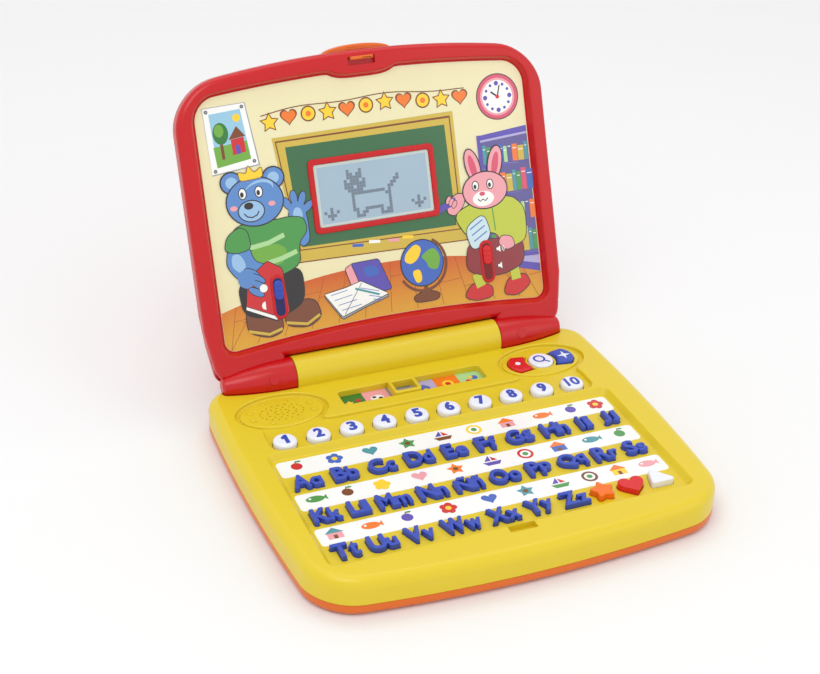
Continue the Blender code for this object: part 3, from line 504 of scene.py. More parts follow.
def rounded_text(edges, fat, gap, step=0.3):
    """Outlines of rounded lettering, fat wider than the font's, and of the hole that it stands in."""
    points, room = edges.reshape(-1, 2), fat + gap + 1
    low, high = points.min(axis=0) - room, points.max(axis=0) + room
    xs, ys = np.arange(low[0], high[0], step), np.arange(low[1], high[1], step)
    field = distance_field(edges, xs, ys)
    hole = contour(field, xs, ys, fat + gap) if gap else []
    return contour(field, xs, ys, fat), hole


TALL_SMALL = "BDFHIJKLTÑ"
TAILED_SMALL = "GPQY"


def letter_pair(letter, x, y, width):
    """The capital and small letter of a key, touching, in the key's place, and the hole around them."""
    fat = 0.75
    width *= 0.84 if letter == "I" else 1
    overlap = -0.5 if letter == "I" else 0.2
    small = "ɑ" if letter == "A" else letter.lower()
    capital, lower = glyph_edges(letter), glyph_edges(small)
    wide = [float(np.ptp(e.reshape(-1, 2)[:, 0])) for e in (capital, lower)]
    wide[1] = max(wide[1], 0.24) if letter in "IJL" else wide[1]
    small_height = 0.9 if letter in TALL_SMALL else 0.8 if letter in TAILED_SMALL else 0.64
    left, right = x - width / 2 + fat, x + width / 2 - fat
    middle = x - width / 2 + width * wide[0] / sum(wide)
    low = y - LETTER_HEIGHT / 2 + fat
    parts = [
        fitted(capital, left, middle - fat, low, low + LETTER_HEIGHT - 2 * fat),
        fitted(lower, middle + fat - overlap, right, low, low + LETTER_HEIGHT * small_height - 2 * fat),
    ]
    return rounded_text(np.concatenate(parts), fat, KEY_GAP)


def node_box(name):
    """A node's low and high corners in the deck frame, in millimetres."""
    back = DECK.inverted()
    low, high = (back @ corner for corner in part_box(name))
    return low / MM, high / MM


# ---------------------------------------------------------------- deck

def ellipse_distance(x, y, cx, cy, rx, ry):
    k0 = np.hypot((x - cx) / rx, (y - cy) / ry)
    k1 = np.hypot((x - cx) / rx**2, (y - cy) / ry**2)
    return k0 * (k0 - 1) / np.maximum(k1, 1e-9)


def box_distance(x, y, cx, cy, hx, hy, radius):
    qx, qy = np.abs(x - cx) - hx + radius, np.abs(y - cy) - hy + radius
    return np.hypot(np.maximum(qx, 0), np.maximum(qy, 0)) + np.minimum(np.maximum(qx, qy), 0) - radius


def recess_loops():
    """The sunk band of the number keys flowing into both ovals."""
    xs, ys = np.arange(-140.0, 141.0, 0.8), np.arange(40.0, 121.0, 0.8)
    x, y = np.meshgrid(xs, ys)
    field = box_distance(x, y, 0, 60.1, 121.5, 13.9, 8.0)
    for side in (-1, 1):
        oval = ellipse_distance(x, y, side * OVAL_X, OVAL_Y, *OVAL_HALF)
        blend = np.clip(0.5 + 0.5 * (oval - field) / 9.0, 0, 1)
        field = oval * (1 - blend) + field * blend - 9.0 * blend * (1 - blend)
    return contour(field, xs, ys, 0.0)


def knuckle_profile(side, grow, inner):
    """A knuckle's profile along the hinge: as thick as the barrel, thinner outwards, with a round end."""
    profile = [(side * inner, BARREL_RADIUS + grow)]
    length = KNUCKLE_END_X - BARREL_HALF_WIDTH
    taper = 0.95
    for i in range(1, 17):
        part = taper * i / 16
        radius = BARREL_RADIUS - (BARREL_RADIUS - KNUCKLE_END_RADIUS) * part**2.2
        profile.append((side * (BARREL_HALF_WIDTH + length * part), radius + grow))
    end = length * (1 - taper) + grow
    along, radius = profile[-1]
    for t in (30, 60, 80):
        turn = math.radians(t)
        profile.append((along + side * end * math.sin(turn), radius * (0.35 + 0.65 * math.cos(turn))))
    return profile


def wing_outline(side, grow):
    """A wing key beside the round one: hollow towards it, and as the oval's edge outside."""
    half_x, half_y = OVAL_HALF[0] - 7.5 + grow, OVAL_HALF[1] - 5.0 + grow
    hollow = 9.3 + 2.6 - grow
    reach = math.degrees(math.asin((10.0 + 1.3 * grow) / half_y))
    inner = math.degrees(math.asin((8.0 + 1.3 * grow) / hollow))
    points = arc(0, 0, half_x, half_y, -reach, reach, 26) + arc(0, 0, hollow, hollow, inner, -inner, 20)
    if side < 0:
        points = [(-x, y) for x, y in reversed(points)]
    return [(OVAL_X + x, OVAL_Y + y) for x, y in points]


def star_outline(x, y, size, inner=0.56, arms=5, turn=90.0):
    """A star whose tips are size from its middle."""
    points = []
    for i in range(arms * 2):
        radius = size if i % 2 == 0 else size * inner
        angle = math.radians(turn + 180 * i / arms)
        points.append((x + radius * math.cos(angle), y + radius * math.sin(angle)))
    return points


def heart_outline(x, y, size, count=40):
    """The usual heart curve, size wide to each side."""
    points = []
    for i in range(count):
        t = 2 * math.pi * i / count
        rise = (13 * math.cos(t) - 5 * math.cos(2 * t) - 2 * math.cos(3 * t) - math.cos(4 * t)) / 16
        points.append((x - size * math.sin(t) ** 3, y + size * (rise + 0.1)))
    return points


def softened(loop, radius, gap=0.0, step=0.25):
    """A loop with all its corners rounded to a radius, and the hole around it."""
    edges = np.array([[a, b] for a, b in zip(loop, loop[1:] + loop[:1])])
    low, high = np.array(loop).min(axis=0) - gap - 1, np.array(loop).max(axis=0) + gap + 1
    xs, ys = np.arange(low[0], high[0], step), np.arange(low[1], high[1], step)
    field = distance_field(edges, xs, ys)
    core = contour(field, xs, ys, -radius)
    edges = np.concatenate([[[a, b] for a, b in zip(c, c[1:] + c[:1])] for c in core])
    field = distance_field(edges, xs, ys)
    return contour(field, xs, ys, radius), contour(field, xs, ys, radius + gap) if gap else []


def key_names():
    letters = [chr(ord("A") + i) for i in range(26)] + ["Ñ"]
    return [(letter, "letter_key_" + ("N_tilde" if letter == "Ñ" else letter)) for letter in letters]


def letter_keys():
    """Every letter key, and the outlines of the holes that they stand in."""
    holes = []
    side_room = 3.6
    for letter, node in key_names():
        low, high = node_box(node)
        middle = (low + high) / 2
        shape, hole = letter_pair(letter, middle.x + LETTER_SHIFT, middle.y, high.x - low.x - side_room)
        key = Shape(node + "_cap", node, DECK, BLUE_KEY, [node], "blue_key")
        key.pad(shape, KEY_FOOT_Z, LETTER_TOP, 1.0, 5)
        key.done()
        holes += hole
    return holes


def shape_keys():
    """The star, heart and triangle keys. Their holes are rounded like them."""
    holes = []
    looks = {"star_key": (ORANGE_KEY, "orange_key"), "heart_key": (RED_KEY, "red_key"),
             "triangle_key": (WHITE_KEY, "white_key")}
    for node, (material, slot) in looks.items():
        low, high = node_box(node)
        x, y = ((low + high) / 2)[:2]
        outline, radius = {
            "star_key": (star_outline(x, y - 0.9, 9.6), 1.1),
            "heart_key": (heart_outline(x, y - 0.7, 9.2), 0.8),
            "triangle_key": ([(x - 9.6, y - 7.0), (x + 9.4, y - 7.0), (x - 4.6, y + 9.6)], 1.8),
        }[node]
        shape, hole = softened(outline, radius, KEY_GAP)
        key = Shape(node + "_cap", node, DECK, material, [node], slot)
        key.pad(shape, KEY_FOOT_Z, SHAPE_KEY_TOP, 1.0, 5)
        key.done()
        holes += hole
    return holes


def number_keys():
    """The ten round keys, and their holes. The one is drawn with its own flag."""
    holes = []
    half_height = 4.7
    one = [(0.45, 0), (0.9, 0), (0.9, 1), (0.6, 1), (0, 0.74), (0.1, 0.58), (0.45, 0.7)]
    for number in range(1, 11):
        node = f"number_key_{number}"
        low, high = node_box(node)
        x, y = ((low + high) / 2)[:2]
        key = Shape(node + "_cap", node, DECK, [WHITE_KEY, BLUE_KEY], [node], "white_key")
        key.pad([arc(x, y, NUMBER_RADIUS, NUMBER_RADIUS, count=56)], KEY_FOOT_Z, NUMBER_TOP, 2.2, 7)
        key.mark = 1
        half = {1: 1.9, 10: 4.8}.get(number, 2.5)
        edges = np.array(list(zip(one, one[1:] + one[:1]))) if number == 1 else glyph_edges(str(number))
        digits = fitted(edges, x - half, x + half, y - half_height, y + half_height)
        shape, _ = rounded_text(digits, 0.5 if number in (1, 10) else 0.7, 0, 0.2)
        key.pad(shape, NUMBER_TOP - MARK_SUNK, NUMBER_TOP + MARK_RAISED, 0.05, 1)
        key.done()
        holes.append(arc(x, y, NUMBER_RADIUS + KEY_GAP, NUMBER_RADIUS + KEY_GAP, count=56))
    return holes


def function_keys():
    """The round key between two wings, each with a plain mark: a dot, a ring with a handle and a star."""
    top, raised = KEYS_TOP, KEYS_TOP + MARK_RAISED
    key = Shape("round_function_key_cap", "round_function_key", DECK, [WHITE_KEY, BLUE_KEY],
                ["round_function_key"], "white_key")
    key.pad([arc(OVAL_X, OVAL_Y, ROUND_KEY_RADIUS, ROUND_KEY_RADIUS, count=56)], KEY_FOOT_Z, top, 1.6, 6)
    key.mark = 1
    x, y = OVAL_X - 1, OVAL_Y + 1
    key.pad([arc(x, y, 4.6, 4.6), arc(x, y, 3.1, 3.1)[::-1]], top - MARK_SUNK, raised, 0.05, 1)
    handle = [(x + 2, y - 3.2), (x + 5.6, y - 6.8), (x + 6.6, y - 5.8), (x + 3, y - 2.2)]
    key.pad([handle], top - MARK_SUNK, raised, 0.05, 1)
    key.done()
    holes = [arc(OVAL_X, OVAL_Y, ROUND_KEY_RADIUS + KEY_GAP, ROUND_KEY_RADIUS + KEY_GAP, count=56)]
    for side, name, material in ((-1, "left", RED_KEY), (1, "right", BLUE_KEY)):
        x = OVAL_X + side * 18.8
        node = name + "_function_key"
        slot = "red_key" if side < 0 else "blue_key"
        key = Shape(node + "_cap", node, DECK, [material, WHITE_KEY], [node], slot)
        shape, _ = softened(wing_outline(side, 0.0), 1.6)
        key.pad(shape, KEY_FOOT_Z, top, 1.4, 6)
        key.mark = 1
        mark = arc(x, OVAL_Y, 2.0, 2.0) if side < 0 else star_outline(x, OVAL_Y, 5.4, 0.3, 4)
        key.pad([mark], top - MARK_SUNK, raised, 0.05, 1)
        key.done()
        holes.append(wing_outline(side, 0.45))
    return holes


def deck_shell(letter_holes, shape_holes, number_holes, function_holes):
    """The yellow upper case: deck, sunk band with its ovals, tray, mode window and latch slot."""
    case = Shape("deck_shell", "base", DECK, YELLOW, ["top_case"], "yellow_case")
    foot = PARTING_Z + SEAM_GAP
    rings = [[(x, y, foot) for x, y in base_outline(0)]]
    for inward, down in quarter_round(8.0, 10):
        rings.append([(x, y, DECK_Z - down) for x, y in base_outline(inward)])
    case.loft(rings, closed=False)

    rims = [[p[:2] for p in rings[-1]]]
    recess = recess_loops()
    fillet = [(0.9, DECK_Z), (0.6, 4.42), (0.3, 4.2), (0.1, 3.85), (0, 3.4), (0, 2.4), (-0.15, 2.0),
              (-0.5, 1.65), (-1.1, FLOOR_Z)]
    case.walls(recess, fillet)
    rims += [offset(loop, 0.9) for loop in recess]

    half_x, half_y = (half - 3.4 for half in OVAL_HALF)
    discs = [arc(side * OVAL_X, OVAL_Y, half_x, half_y, count=120) for side in (-1, 1)]
    disc_edge = [(0.5, FLOOR_Z), (0.1, 1.75), (0, 2.3), (-0.25, 2.85), (-0.7, 3.12), (-1.3, DISC_Z)]
    case.walls(discs, disc_edge)
    number_rims = case.pit(number_holes, FLOOR_Z, PIT_Z, 0.4)
    case.fill([offset(loop, -1.1) for loop in recess] + [offset(disc, 0.5) for disc in discs] + number_rims,
              FLOOR_Z)

    dots = []
    for count, rx, ry in ((1, 0, 0), (8, 5.0, 3.0), (14, 10.5, 6.0), (20, 15.8, 9.0)):
        for i in range(count):
            t = 2 * math.pi * (i + 0.5 * (count % 4)) / count
            dots.append(arc(-OVAL_X + rx * math.cos(t), OVAL_Y + ry * math.sin(t), 0.62, 0.62, count=10))
    grille = case.pit(dots, DISC_Z, 0.6)
    function_rims = case.pit(function_holes, DISC_Z, PIT_Z, 0.3)
    for disc, holes in zip(discs, (grille, function_rims)):
        case.fill([offset(disc, -1.3)] + holes, DISC_Z)

    slope = rounded(-TRAY_HALF_WIDTH, TRAY_HALF_WIDTH, TRAY_FRONT, TRAY_BACK, 3, 3, 8, (20, 8, 20, 8))
    tray = [(4.2, DECK_Z), (3.8, 4.4), (3.4, 4.1), (1.0, 1.0), (0.5, 0.4), (0, 0.1), (-0.6, 0.0)]
    case.walls([slope], tray)
    rims.append(offset(slope, 4.2))
    floor_loops = [offset(slope, -0.6)]
    floor_loops += case.pit(shape_holes, 0.0, PIT_Z, 0.15, 2)
    case.walls(letter_holes, [(0, 0), (0, PIT_Z)])
    case.fill(letter_holes, PIT_Z)
    case.fill(floor_loops + letter_holes, 0.0)

    wx, wy, half_x, half_y = WINDOW
    rims += case.pit([pill(wx, wy, half_x, half_y, 3.0)], DECK_Z, -1.6, 0.6)
    rims += case.pit([pill(0, -86.9, 9.5, 3.2, 0.6, 3)], DECK_Z, 0.4, 0.4)
    case.fill(rims, DECK_Z)

    inner = [[(x, y, z) for x, y in base_outline(WALL)] for z in (foot, CEILING_Z)]
    case.strip(*inner)
    case.fill([base_outline(0), base_outline(WALL)], foot)
    case.fill([base_outline(WALL)], CEILING_Z)
    troughs = []
    for side in (-1, 1):
        trough = Shape(f"trough_{side}", None, DECK, YELLOW)
        trough.turned((0, HINGE_Y, HINGE_Z), "x", knuckle_profile(side, 0.9, BARREL_HALF_WIDTH), 64)
        troughs.append(trough.done())
    case.done(troughs)

    barrel = Shape("hinge_barrel_tube", "base", DECK, YELLOW, ["hinge_barrel"], "yellow_case")
    end = BARREL_HALF_WIDTH
    ends = [(end, 4.5), (end, 12.9), (end - 0.15, 13.25), (end - 0.5, BARREL_RADIUS)]
    profile = [(-a, r) for a, r in ends] + [(a, r) for a, r in reversed(ends)]
    barrel.turned((0, HINGE_Y, HINGE_Z), "x", profile, 96)
    barrel.done()


def speaker_relief():
    """Small raised stars and a ring of petals moulded round the speaker's holes."""
    relief = Shape("speaker_relief", "base", DECK, YELLOW, ["top_case"], "yellow_case")
    for angle in (20, 65, 115, 160, 200, 245, 295, 340):
        t = math.radians(angle)
        x, y = -OVAL_X + 23.5 * math.cos(t), OVAL_Y + 13.6 * math.sin(t)
        if angle % 10 == 0:
            shape, _ = softened(star_outline(x, y, 3.0, 0.5, 5, angle), 0.4)
        else:
            shape = [arc(x, y, 1.9, 1.3, count=24)]
        relief.pad(shape, 3.0, 4.1, 0.4, 3)
    relief.done()


def mode_parts():
    """The card under the window with a plain picture in each cell, and the cursor that stands over one."""
    wx, wy, half_x, half_y = WINDOW
    names = ["leaf", "pink", "grey", "lavender", "orange", "mint"]
    materials = [PRINT[n] for n in names] + [PRINT[n] for n in ("yellow", "white", "red", "blue", "black")]
    card = Shape("mode_card_print", "base", DECK, materials, ["mode_card"], "printed_card")
    card.pad([pill(wx, wy, half_x + 2.0, half_y + 1.4, 2.0, 4)], -1.5, -0.4, 0.1, 1)
    cell = 2 * half_x / 6
    for i in range(6):
        x0 = wx - half_x + i * cell
        card.mark = i
        card.fill([[(x0, wy - 9.6), (x0 + cell, wy - 9.6), (x0 + cell, wy + 9.6), (x0, wy + 9.6)]], -0.36)
        x, y = x0 + cell / 2, wy - 0.6
        marks = [
            [(6, star_outline(x - 3, y - 1, 3.4)), (8, arc(x + 4, y + 1, 1.8, 1.8, count=20))],
            [(7, arc(x, y, 5, 3.2, count=28)), (10, arc(x - 2, y + 1, 1.6, 1.3, count=16)),
             (10, arc(x + 2.4, y - 1, 1.7, 1.2, count=16))],
            [(8, heart_outline(x, y, 4.2, 24)), (7, arc(x + 1.5, y + 1, 1.1, 1.1, count=14))],
            [(9, [(x - 4, y - 4), (x + 4, y - 4), (x + 4, y + 1), (x, y + 5), (x - 4, y + 1)]),
             (6, [(x - 1, y - 4), (x + 1.4, y - 4), (x + 1.4, y - 0.6), (x - 1, y - 0.6)])],
            [(6, arc(x, y, 4.4, 4.4, count=28)), (8, arc(x, y, 2.2, 2.2, count=20))],
            [(8, arc(x - 2.6, y - 2, 2.4, 2.4, count=20)), (9, arc(x + 3, y + 1.6, 2.6, 2.6, count=20)),
             (6, arc(x + 0.4, y + 2.6, 1.6, 1.6, count=16))],
        ][i]
        for level, (mark, loop) in enumerate(marks):
            card.mark = mark
            card.fill([loop], -0.33 + 0.03 * level)
    card.done()

    low, high = node_box("mode_cursor")
    x = (low.x + high.x) / 2
    cursor = Shape("mode_cursor_frame", "mode_cursor", DECK, YELLOW, ["mode_cursor"], "yellow_case")
    outer, hole = pill(x, wy, 10.4, 8.5, 2.0), pill(x, wy, 7.8, 5.9, 1.0)[::-1]
    cursor.pad([outer, hole], 0.1, high.z, 0.9, 5)
    cursor.done()


def icon_places(row):
    """Where the pictures of a strip stand: over the keys of the row below it."""
    rows = ("ABCDEFGHIJ", "KLMNÑOPQRS", "TUVWXYZ")
    nodes = ["letter_key_" + ("N_tilde" if letter == "Ñ" else letter) for letter in rows[row]]
    if row == 2:
        nodes += ["star_key", "heart_key", "triangle_key"]
    return [sum(corner.x for corner in node_box(node)) / 2 + LETTER_SHIFT for node in nodes]


ICON_SCALE = 0.86


def strip_icons():
    """Glossy white strips between the rows of letters, each with small plain pictures."""
    names = ["white", "red", "orange", "yellow", "green", "blue", "purple", "pink", "brown", "teal"]
    strips = Shape("tray_strips", "base", DECK, [PRINT[n] for n in names], ["top_case"], "printed_card")
    for row, (y0, y1, x0, x1) in enumerate(((20.2, 38.4, -124, 124), (-18.8, -0.6, -124, 124),
                                            (-57.8, -39.6, -124, 124))):
        strips.mark = 0
        y = (y0 + y1) / 2
        strips.pad([pill((x0 + x1) / 2, y, (x1 - x0) / 2, (y1 - y0) / 2, 3.0, 6)], -0.3, 0.18, 0.1, 1)
        for i, place_x in enumerate(icon_places(row)):
            x, y = place_x / ICON_SCALE, (y0 + y1) / 2 / ICON_SCALE + 1.6
            kind = (i * 3 + row * 5) % 8
            color, other = 1 + (i * 4 + row * 3) % 9, 1 + (i * 7 + row * 2 + 4) % 9
            z = 0.22
            if kind == 0:
                parts = [(color, arc(x, y, 4.6, 4.6, count=28)), (8, [(x - 0.4, y + 4), (x + 0.5, y + 4),
                         (x + 1.4, y + 7), (x + 0.6, y + 7.2)]), (4, arc(x + 3, y + 6, 2.2, 1.1, count=16))]
            elif kind == 1:
                parts = [(color, star_outline(x, y, 7.4)), (other, arc(x, y, 2.2, 2.2, count=20))]
            elif kind == 2:
                parts = [(color, [(x - 6, y - 6), (x + 6, y - 6), (x + 6, y + 1), (x - 6, y + 1)]),
                         (other, [(x - 7.5, y + 1), (x + 7.5, y + 1), (x, y + 7.5)]),
                         (8, [(x - 1.5, y - 6), (x + 1.5, y - 6), (x + 1.5, y - 1.5), (x - 1.5, y - 1.5)])]
            elif kind == 3:
                parts = [(color, arc(x + a, y + b, 3.0, 3.0, count=20)) for a, b in
                         ((4, 0), (1.2, 3.8), (-3.2, 2.4), (-3.2, -2.4), (1.2, -3.8))]
                parts.append((3, arc(x, y, 2.4, 2.4, count=20)))
            elif kind == 4:
                parts = [(color, [(x - 8, y - 1), (x + 8, y - 1), (x + 5, y - 5.5), (x - 5, y - 5.5)]),
                         (other, [(x - 0.5, y + 0.4), (x - 0.5, y + 7.5), (x - 6, y + 0.4)]),
                         (1, [(x + 0.6, y + 0.4), (x + 5.4, y + 0.4), (x + 0.6, y + 6.2)])]
            elif kind == 5:
                parts = [(color, arc(x, y, 7.4, 4.0, count=36)), (color, [(x + 6, y), (x + 9.6, y + 3.4),
                         (x + 9.6, y - 3.4)]), (0, arc(x - 4, y + 1, 1.1, 1.1, count=14))]
            elif kind == 6:
                parts = [(color, heart_outline(x, y, 6.4, 32))]
            else:
                parts = [(color, arc(x, y, 6.6, 6.6, count=36)), (0, arc(x, y, 4.4, 4.4, count=30)),
                         (other, arc(x, y, 2.4, 2.4, count=24))]
            for level, (mark, loop) in enumerate(parts):
                strips.mark = mark
                strips.fill([[(a * ICON_SCALE, b * ICON_SCALE) for a, b in loop]], z + 0.02 * level)
    strips.done()


def bottom_case():
    """The orange lower case with its screw wells, and the battery door."""
    case = Shape("bottom_shell", "base", DECK, ORANGE, ["bottom_case"], "orange_case")
    rim, ceiling, edge = PARTING_Z - SEAM_GAP, -20.5, 5.0
    well_top, door_top = GROUND_Z + 1.7, GROUND_Z + 1.9
    rings = [[(x, y, rim) for x, y in base_outline(0)]]
    for inward, up in quarter_round(edge, 7):
        rings.append([(x, y, GROUND_Z + up) for x, y in base_outline(inward)])
    case.loft(rings, closed=False)
    levels = ((WALL, rim), (WALL, -19.0), (6, ceiling))
    inner = [[(x, y, z) for x, y in base_outline(grow)] for grow, z in levels]
    case.loft(inner, closed=False)
    case.fill([base_outline(0), base_outline(WALL)], rim)
    case.fill([base_outline(6)], ceiling)

    places = [(side * 136.0, y) for side in (-1, 1) for y in (-62.0, 30.0, 100.0)] + [(-60, -97), (60, -97)]
    wells = [arc(x, y, 2.8, 2.8, count=24) for x, y in places]
    case.walls(wells, [(0.5, GROUND_Z), (0, GROUND_Z + 0.5), (0, well_top)])
    case.fill(wells, well_top)
    door = pill(0, 97, 29, 24, 2.0, 5)
    case.walls([door], [(0, GROUND_Z), (0, door_top)])
    case.fill([door], door_top)
    case.fill([base_outline(edge), door] + [offset(well, 0.5) for well in wells], GROUND_Z)
    case.done()

    screws = Shape("case_screws", "base", DECK, STEEL, ["bottom_case"])
    head = [(GROUND_Z + 0.8, 0.6), (GROUND_Z + 0.8, 2.2), (GROUND_Z + 1.9, 2.5)]
    for x, y in places:
        screws.turned((x, y, 0), "z", head, 24)
    screws.done()

    cover = Shape("battery_cover", "base", DECK, ORANGE, ["battery_door"], "orange_case")
    cover.pad([pill(0, 97, 28.6, 23.6, 1.8, 5)], GROUND_Z, GROUND_Z + 1.8, 0.2, 2)
    for i in range(5):
        cover.pad([pill(0, 112 + 1.8 * i, 9, 0.45, 0.4, 3)], GROUND_Z, GROUND_Z + 0.3, 0.1, 1)
    cover.done()


# ---------------------------------------------------------------- lid

def lid_shells():
    """The red lid: bezel with the picture's recess and the latch slot, back shell, cheeks and knuckles."""
    front = Shape("lid_front_shell", "lid", LID, RED, ["lid_front"], "red_lid")
    seam = SEAM_W + SEAM_GAP
    rings = [[(x, v, seam) for x, v in lid_outline(grow, LID_FRONT_BOTTOM)] for grow in (2, 0)]
    for inward, down in quarter_round(BEZEL_EDGE, 8):
        rings.append([(x, v, BEZEL_W - down) for x, v in lid_outline(inward, LID_FRONT_BOTTOM)])
    front.loft(rings, closed=False)
    inner = [(3.6, BEZEL_W), (3.1, 4.9), (2.7, 4.6), (2.45, 4.1), (0.7, 0.4), (0.4, PICTURE_W)]
    rows = [[(x, v, w) for x, v in picture_outline(grow)] for grow, w in inner]
    front.loft(rows, closed=False)
    slot, slot_floor = pill(0, 222.9, 10.2, 3.1, 0.8, 4), 2.0
    front.walls([slot], [(0, BEZEL_W), (0, slot_floor)])
    front.fill([slot], slot_floor)
    front.fill([[p[:2] for p in rings[-1]], [p[:2] for p in rows[0]], slot], BEZEL_W)
    front.fill([[p[:2] for p in rows[-1]]], PICTURE_W)
    front.fill([[p[:2] for p in rings[0]]], seam)
    front.done()

    back = Shape("lid_back_shell", "lid", LID, RED, ["lid_back"], "red_lid")
    rings = [[(x, v, SEAM_W - SEAM_GAP) for x, v in lid_outline(0, LID_BACK_BOTTOM)]]
    for inward, up in quarter_round(5.0, 8):
        rings.append([(x, v, LID_BACK_W + up) for x, v in lid_outline(inward, LID_BACK_BOTTOM)])
    back.loft(rings)
    end, radius = BARREL_HALF_WIDTH + 0.35, BARREL_RADIUS + 0.6
    barrel_room = Shape("barrel_room", None, LID, RED)
    barrel_room.turned((0, HINGE_V, HINGE_W), "x", [(-end, radius), (end, radius)], 96)
    latch_room = Shape("latch_room", None, LID, RED)
    notch = [(-25.5, 212), (25.5, 212), (25.5, 236), (-25.5, 236)]
    latch_room.walls([notch], [(0, SEAM_W - 5.0), (0, SEAM_W + 1)])
    for w in (SEAM_W - 5.0, SEAM_W + 1):
        latch_room.fill([notch], w)
    back.done([barrel_room.done(), latch_room.done()])

    # Each knuckle carries a screw cover that looks forwards and up with the lid open.
    plugs = Shape("knuckle_plugs", "lid", LID, RED, ["lid_back"], "red_lid")
    plug_turn = math.radians(180 - 27) - LID_ANGLE
    out_v, out_w = math.cos(plug_turn), math.sin(plug_turn)
    for side, name in ((-1, "left"), (1, "right")):
        cheek = Shape(f"{name}_cheek", "lid", LID, RED, ["lid_front"], "red_lid")
        low, high = sorted((side * 85.5, side * (LID_HALF_WIDTH - 0.06)))
        rings = []
        for inward, down in [(0.0, BEZEL_W - SEAM_W - 0.25)] + quarter_round(4.7, 9):
            loop = rounded(low + inward, high - inward, 7.6 + inward, 25.6, 13 - inward, 0.3, 12)
            rings.append([(tapered(x, v), v, BEZEL_W - 0.05 - down) for x, v in loop])
        cheek.loft(rings)
        cheek.done()
        knuckle = Shape(f"{name}_knuckle", "lid", LID, RED, ["lid_back"], "red_lid")
        profile = knuckle_profile(side, 0.0, end)
        profile[:1] = [(side * end, BARREL_RADIUS - 0.5), (side * (end + 0.4), BARREL_RADIUS)]
        knuckle.turned((0, HINGE_V, HINGE_W), "x", profile, 96)
        knuckle.done()
        rings = []
        for radius, far in ((3.9, 11.5), (3.9, 13.2), (3.6, 13.45)):
            rings.append([(side * 97.0 + a, HINGE_V + far * out_v - b * out_w, HINGE_W + far * out_w + b * out_v)
                          for a, b in arc(0, 0, radius, radius, count=32)])
        plugs.loft(rings, closed=False)
        plugs.add(rings[-1], [tuple(range(32))])
    plugs.done()


def display():
    """The red frame, the pale window in it and a plain pixel picture of an animal between two plants."""
    half_x, half_v = DISPLAY_HALF
    frame_piece = Shape("display_frame", "lid", LID, RED, ["lid_front"], "red_lid")
    opening = pill(0, DISPLAY_V, half_x - 4.2, half_v - 4.2, 1.6)[::-1]
    frame_piece.pad([pill(0, DISPLAY_V, half_x, half_v, 4.0), opening], -0.3, 1.6, 1.0, 6)
    frame_piece.done()
    panel = Shape("display_panel", "lid", LID, [PANEL, PRINT["lcd"], PRINT["pixel"]], ["lcd_window"],
                  "display_window")
    panel.pad([pill(0, DISPLAY_V, half_x - 4.3, half_v - 4.3, 1.5, 4)], -0.3, 0.3, 0.1, 1)
    panel.mark = 1
    animal = (
        "..#...#.............", "..##.##.............", "..#####.............", ".#.###.#..........#.",
        ".#######.........##.", ".###.###........##..", "..#####........##...", "...###########.#....",
        "...#..........##....", "...#...........#....", "...#...........#....", "...#...........#....",
        "...##..######..#....", "....#.##....#.##....", "....###.....####....",
    )
    plant = ("..#..", "#.#.#", ".###.", "..#..")
    panel.fill([pill(0, DISPLAY_V, half_x - 6.6, half_v - 6.4, 0.6, 3)], 0.33)
    panel.mark = 2
    pitch = 2.35
    half, w = pitch * 0.48, 0.36
    for x, v, rows in ((-24, 112.5, animal), (-39, 113, plant), (28.5, 113, plant)):
        for j, row in enumerate(reversed(rows)):
            for i, cell in enumerate(row):
                if cell == "#":
                    a, b = x + i * pitch, v + j * pitch
                    panel.add([(a - half, b - half, w), (a + half, b - half, w), (a + half, b + half, w),
                               (a - half, b + half, w)], [(0, 1, 2, 3)])
    panel.done()


def slider_signs(side, x):
    """The signs beside a switch: a full and a half circle on the left, two loudspeakers on the right."""
    high, low = SLIDER_V + 8.0, SLIDER_V - 4.5
    if side < 0:
        return [arc(x, high, 2.9, 2.9, count=28), arc(x, low, 2.9, 2.9, 90, 270, 20)]
    box = ((-2.2, -1.0), (-0.8, -1.0), (1.0, -2.6), (1.0, 2.6), (-0.8, 1.0), (-2.2, 1.0))
    signs = [[(x + a, v + b) for a, b in box] for v in (high, low)]
    for outer in (2.4, 3.8):
        inner = outer - 0.6
        signs.append(arc(x + 0.6, high, outer, outer, -40, 40, 12)
                     + arc(x + 0.6, high, inner, inner, 40, -40, 12))
    return signs


def sliders():
    """The two switches on the lid: a pad with a slot drawn as a flat sheet of painted shade, its signs, and a
    knob with three grip bars.
    """
    switches = ((-1, "contrast_slider", BLUE_KEY, SHADED_BLUE_SLOT), (1, "volume_slider", RED_KEY, SHADED_RED_SLOT))
    for side, node, knob, slot in switches:
        x = side * SLIDER_X
        pad = Shape(f"{node}_pad", "lid", LID, [RED, slot, PRINT["white"]], ["lid_front"], "red_lid")
        pad.pad([pill(x, SLIDER_V, 5.3, 16.0, 5.1, 12)], -0.3, 1.3, 0.7, 5)
        # The slot is not cut: a flat sheet in a darker copy of the switch's colour is painted shade for its
        # inside.
        pad.mark = 1
        pad.fill([pill(x, SLIDER_V, 3.5, 13.8, 3.4, 8)], 1.34)
        pad.mark = 2
        for sign in slider_signs(side, x + side * 10.6):
            pad.fill([sign], 1.05)
        pad.done()
        cap = Shape(f"{node}_knob", node, LID, knob, [node], "blue_key" if side < 0 else "red_key")
        middle = SLIDER_V + 5.0
        cap.pad([pill(x, middle, 3.3, 7.2, 3.1, 10)], 1.4, 3.0, 1.0, 5)
        for v in (middle - 3.4, middle, middle + 3.4):
            cap.pad([pill(x, v, 2.4, 0.6, 0.55, 5)], 2.6, 3.5, 0.4, 3)
        cap.done()


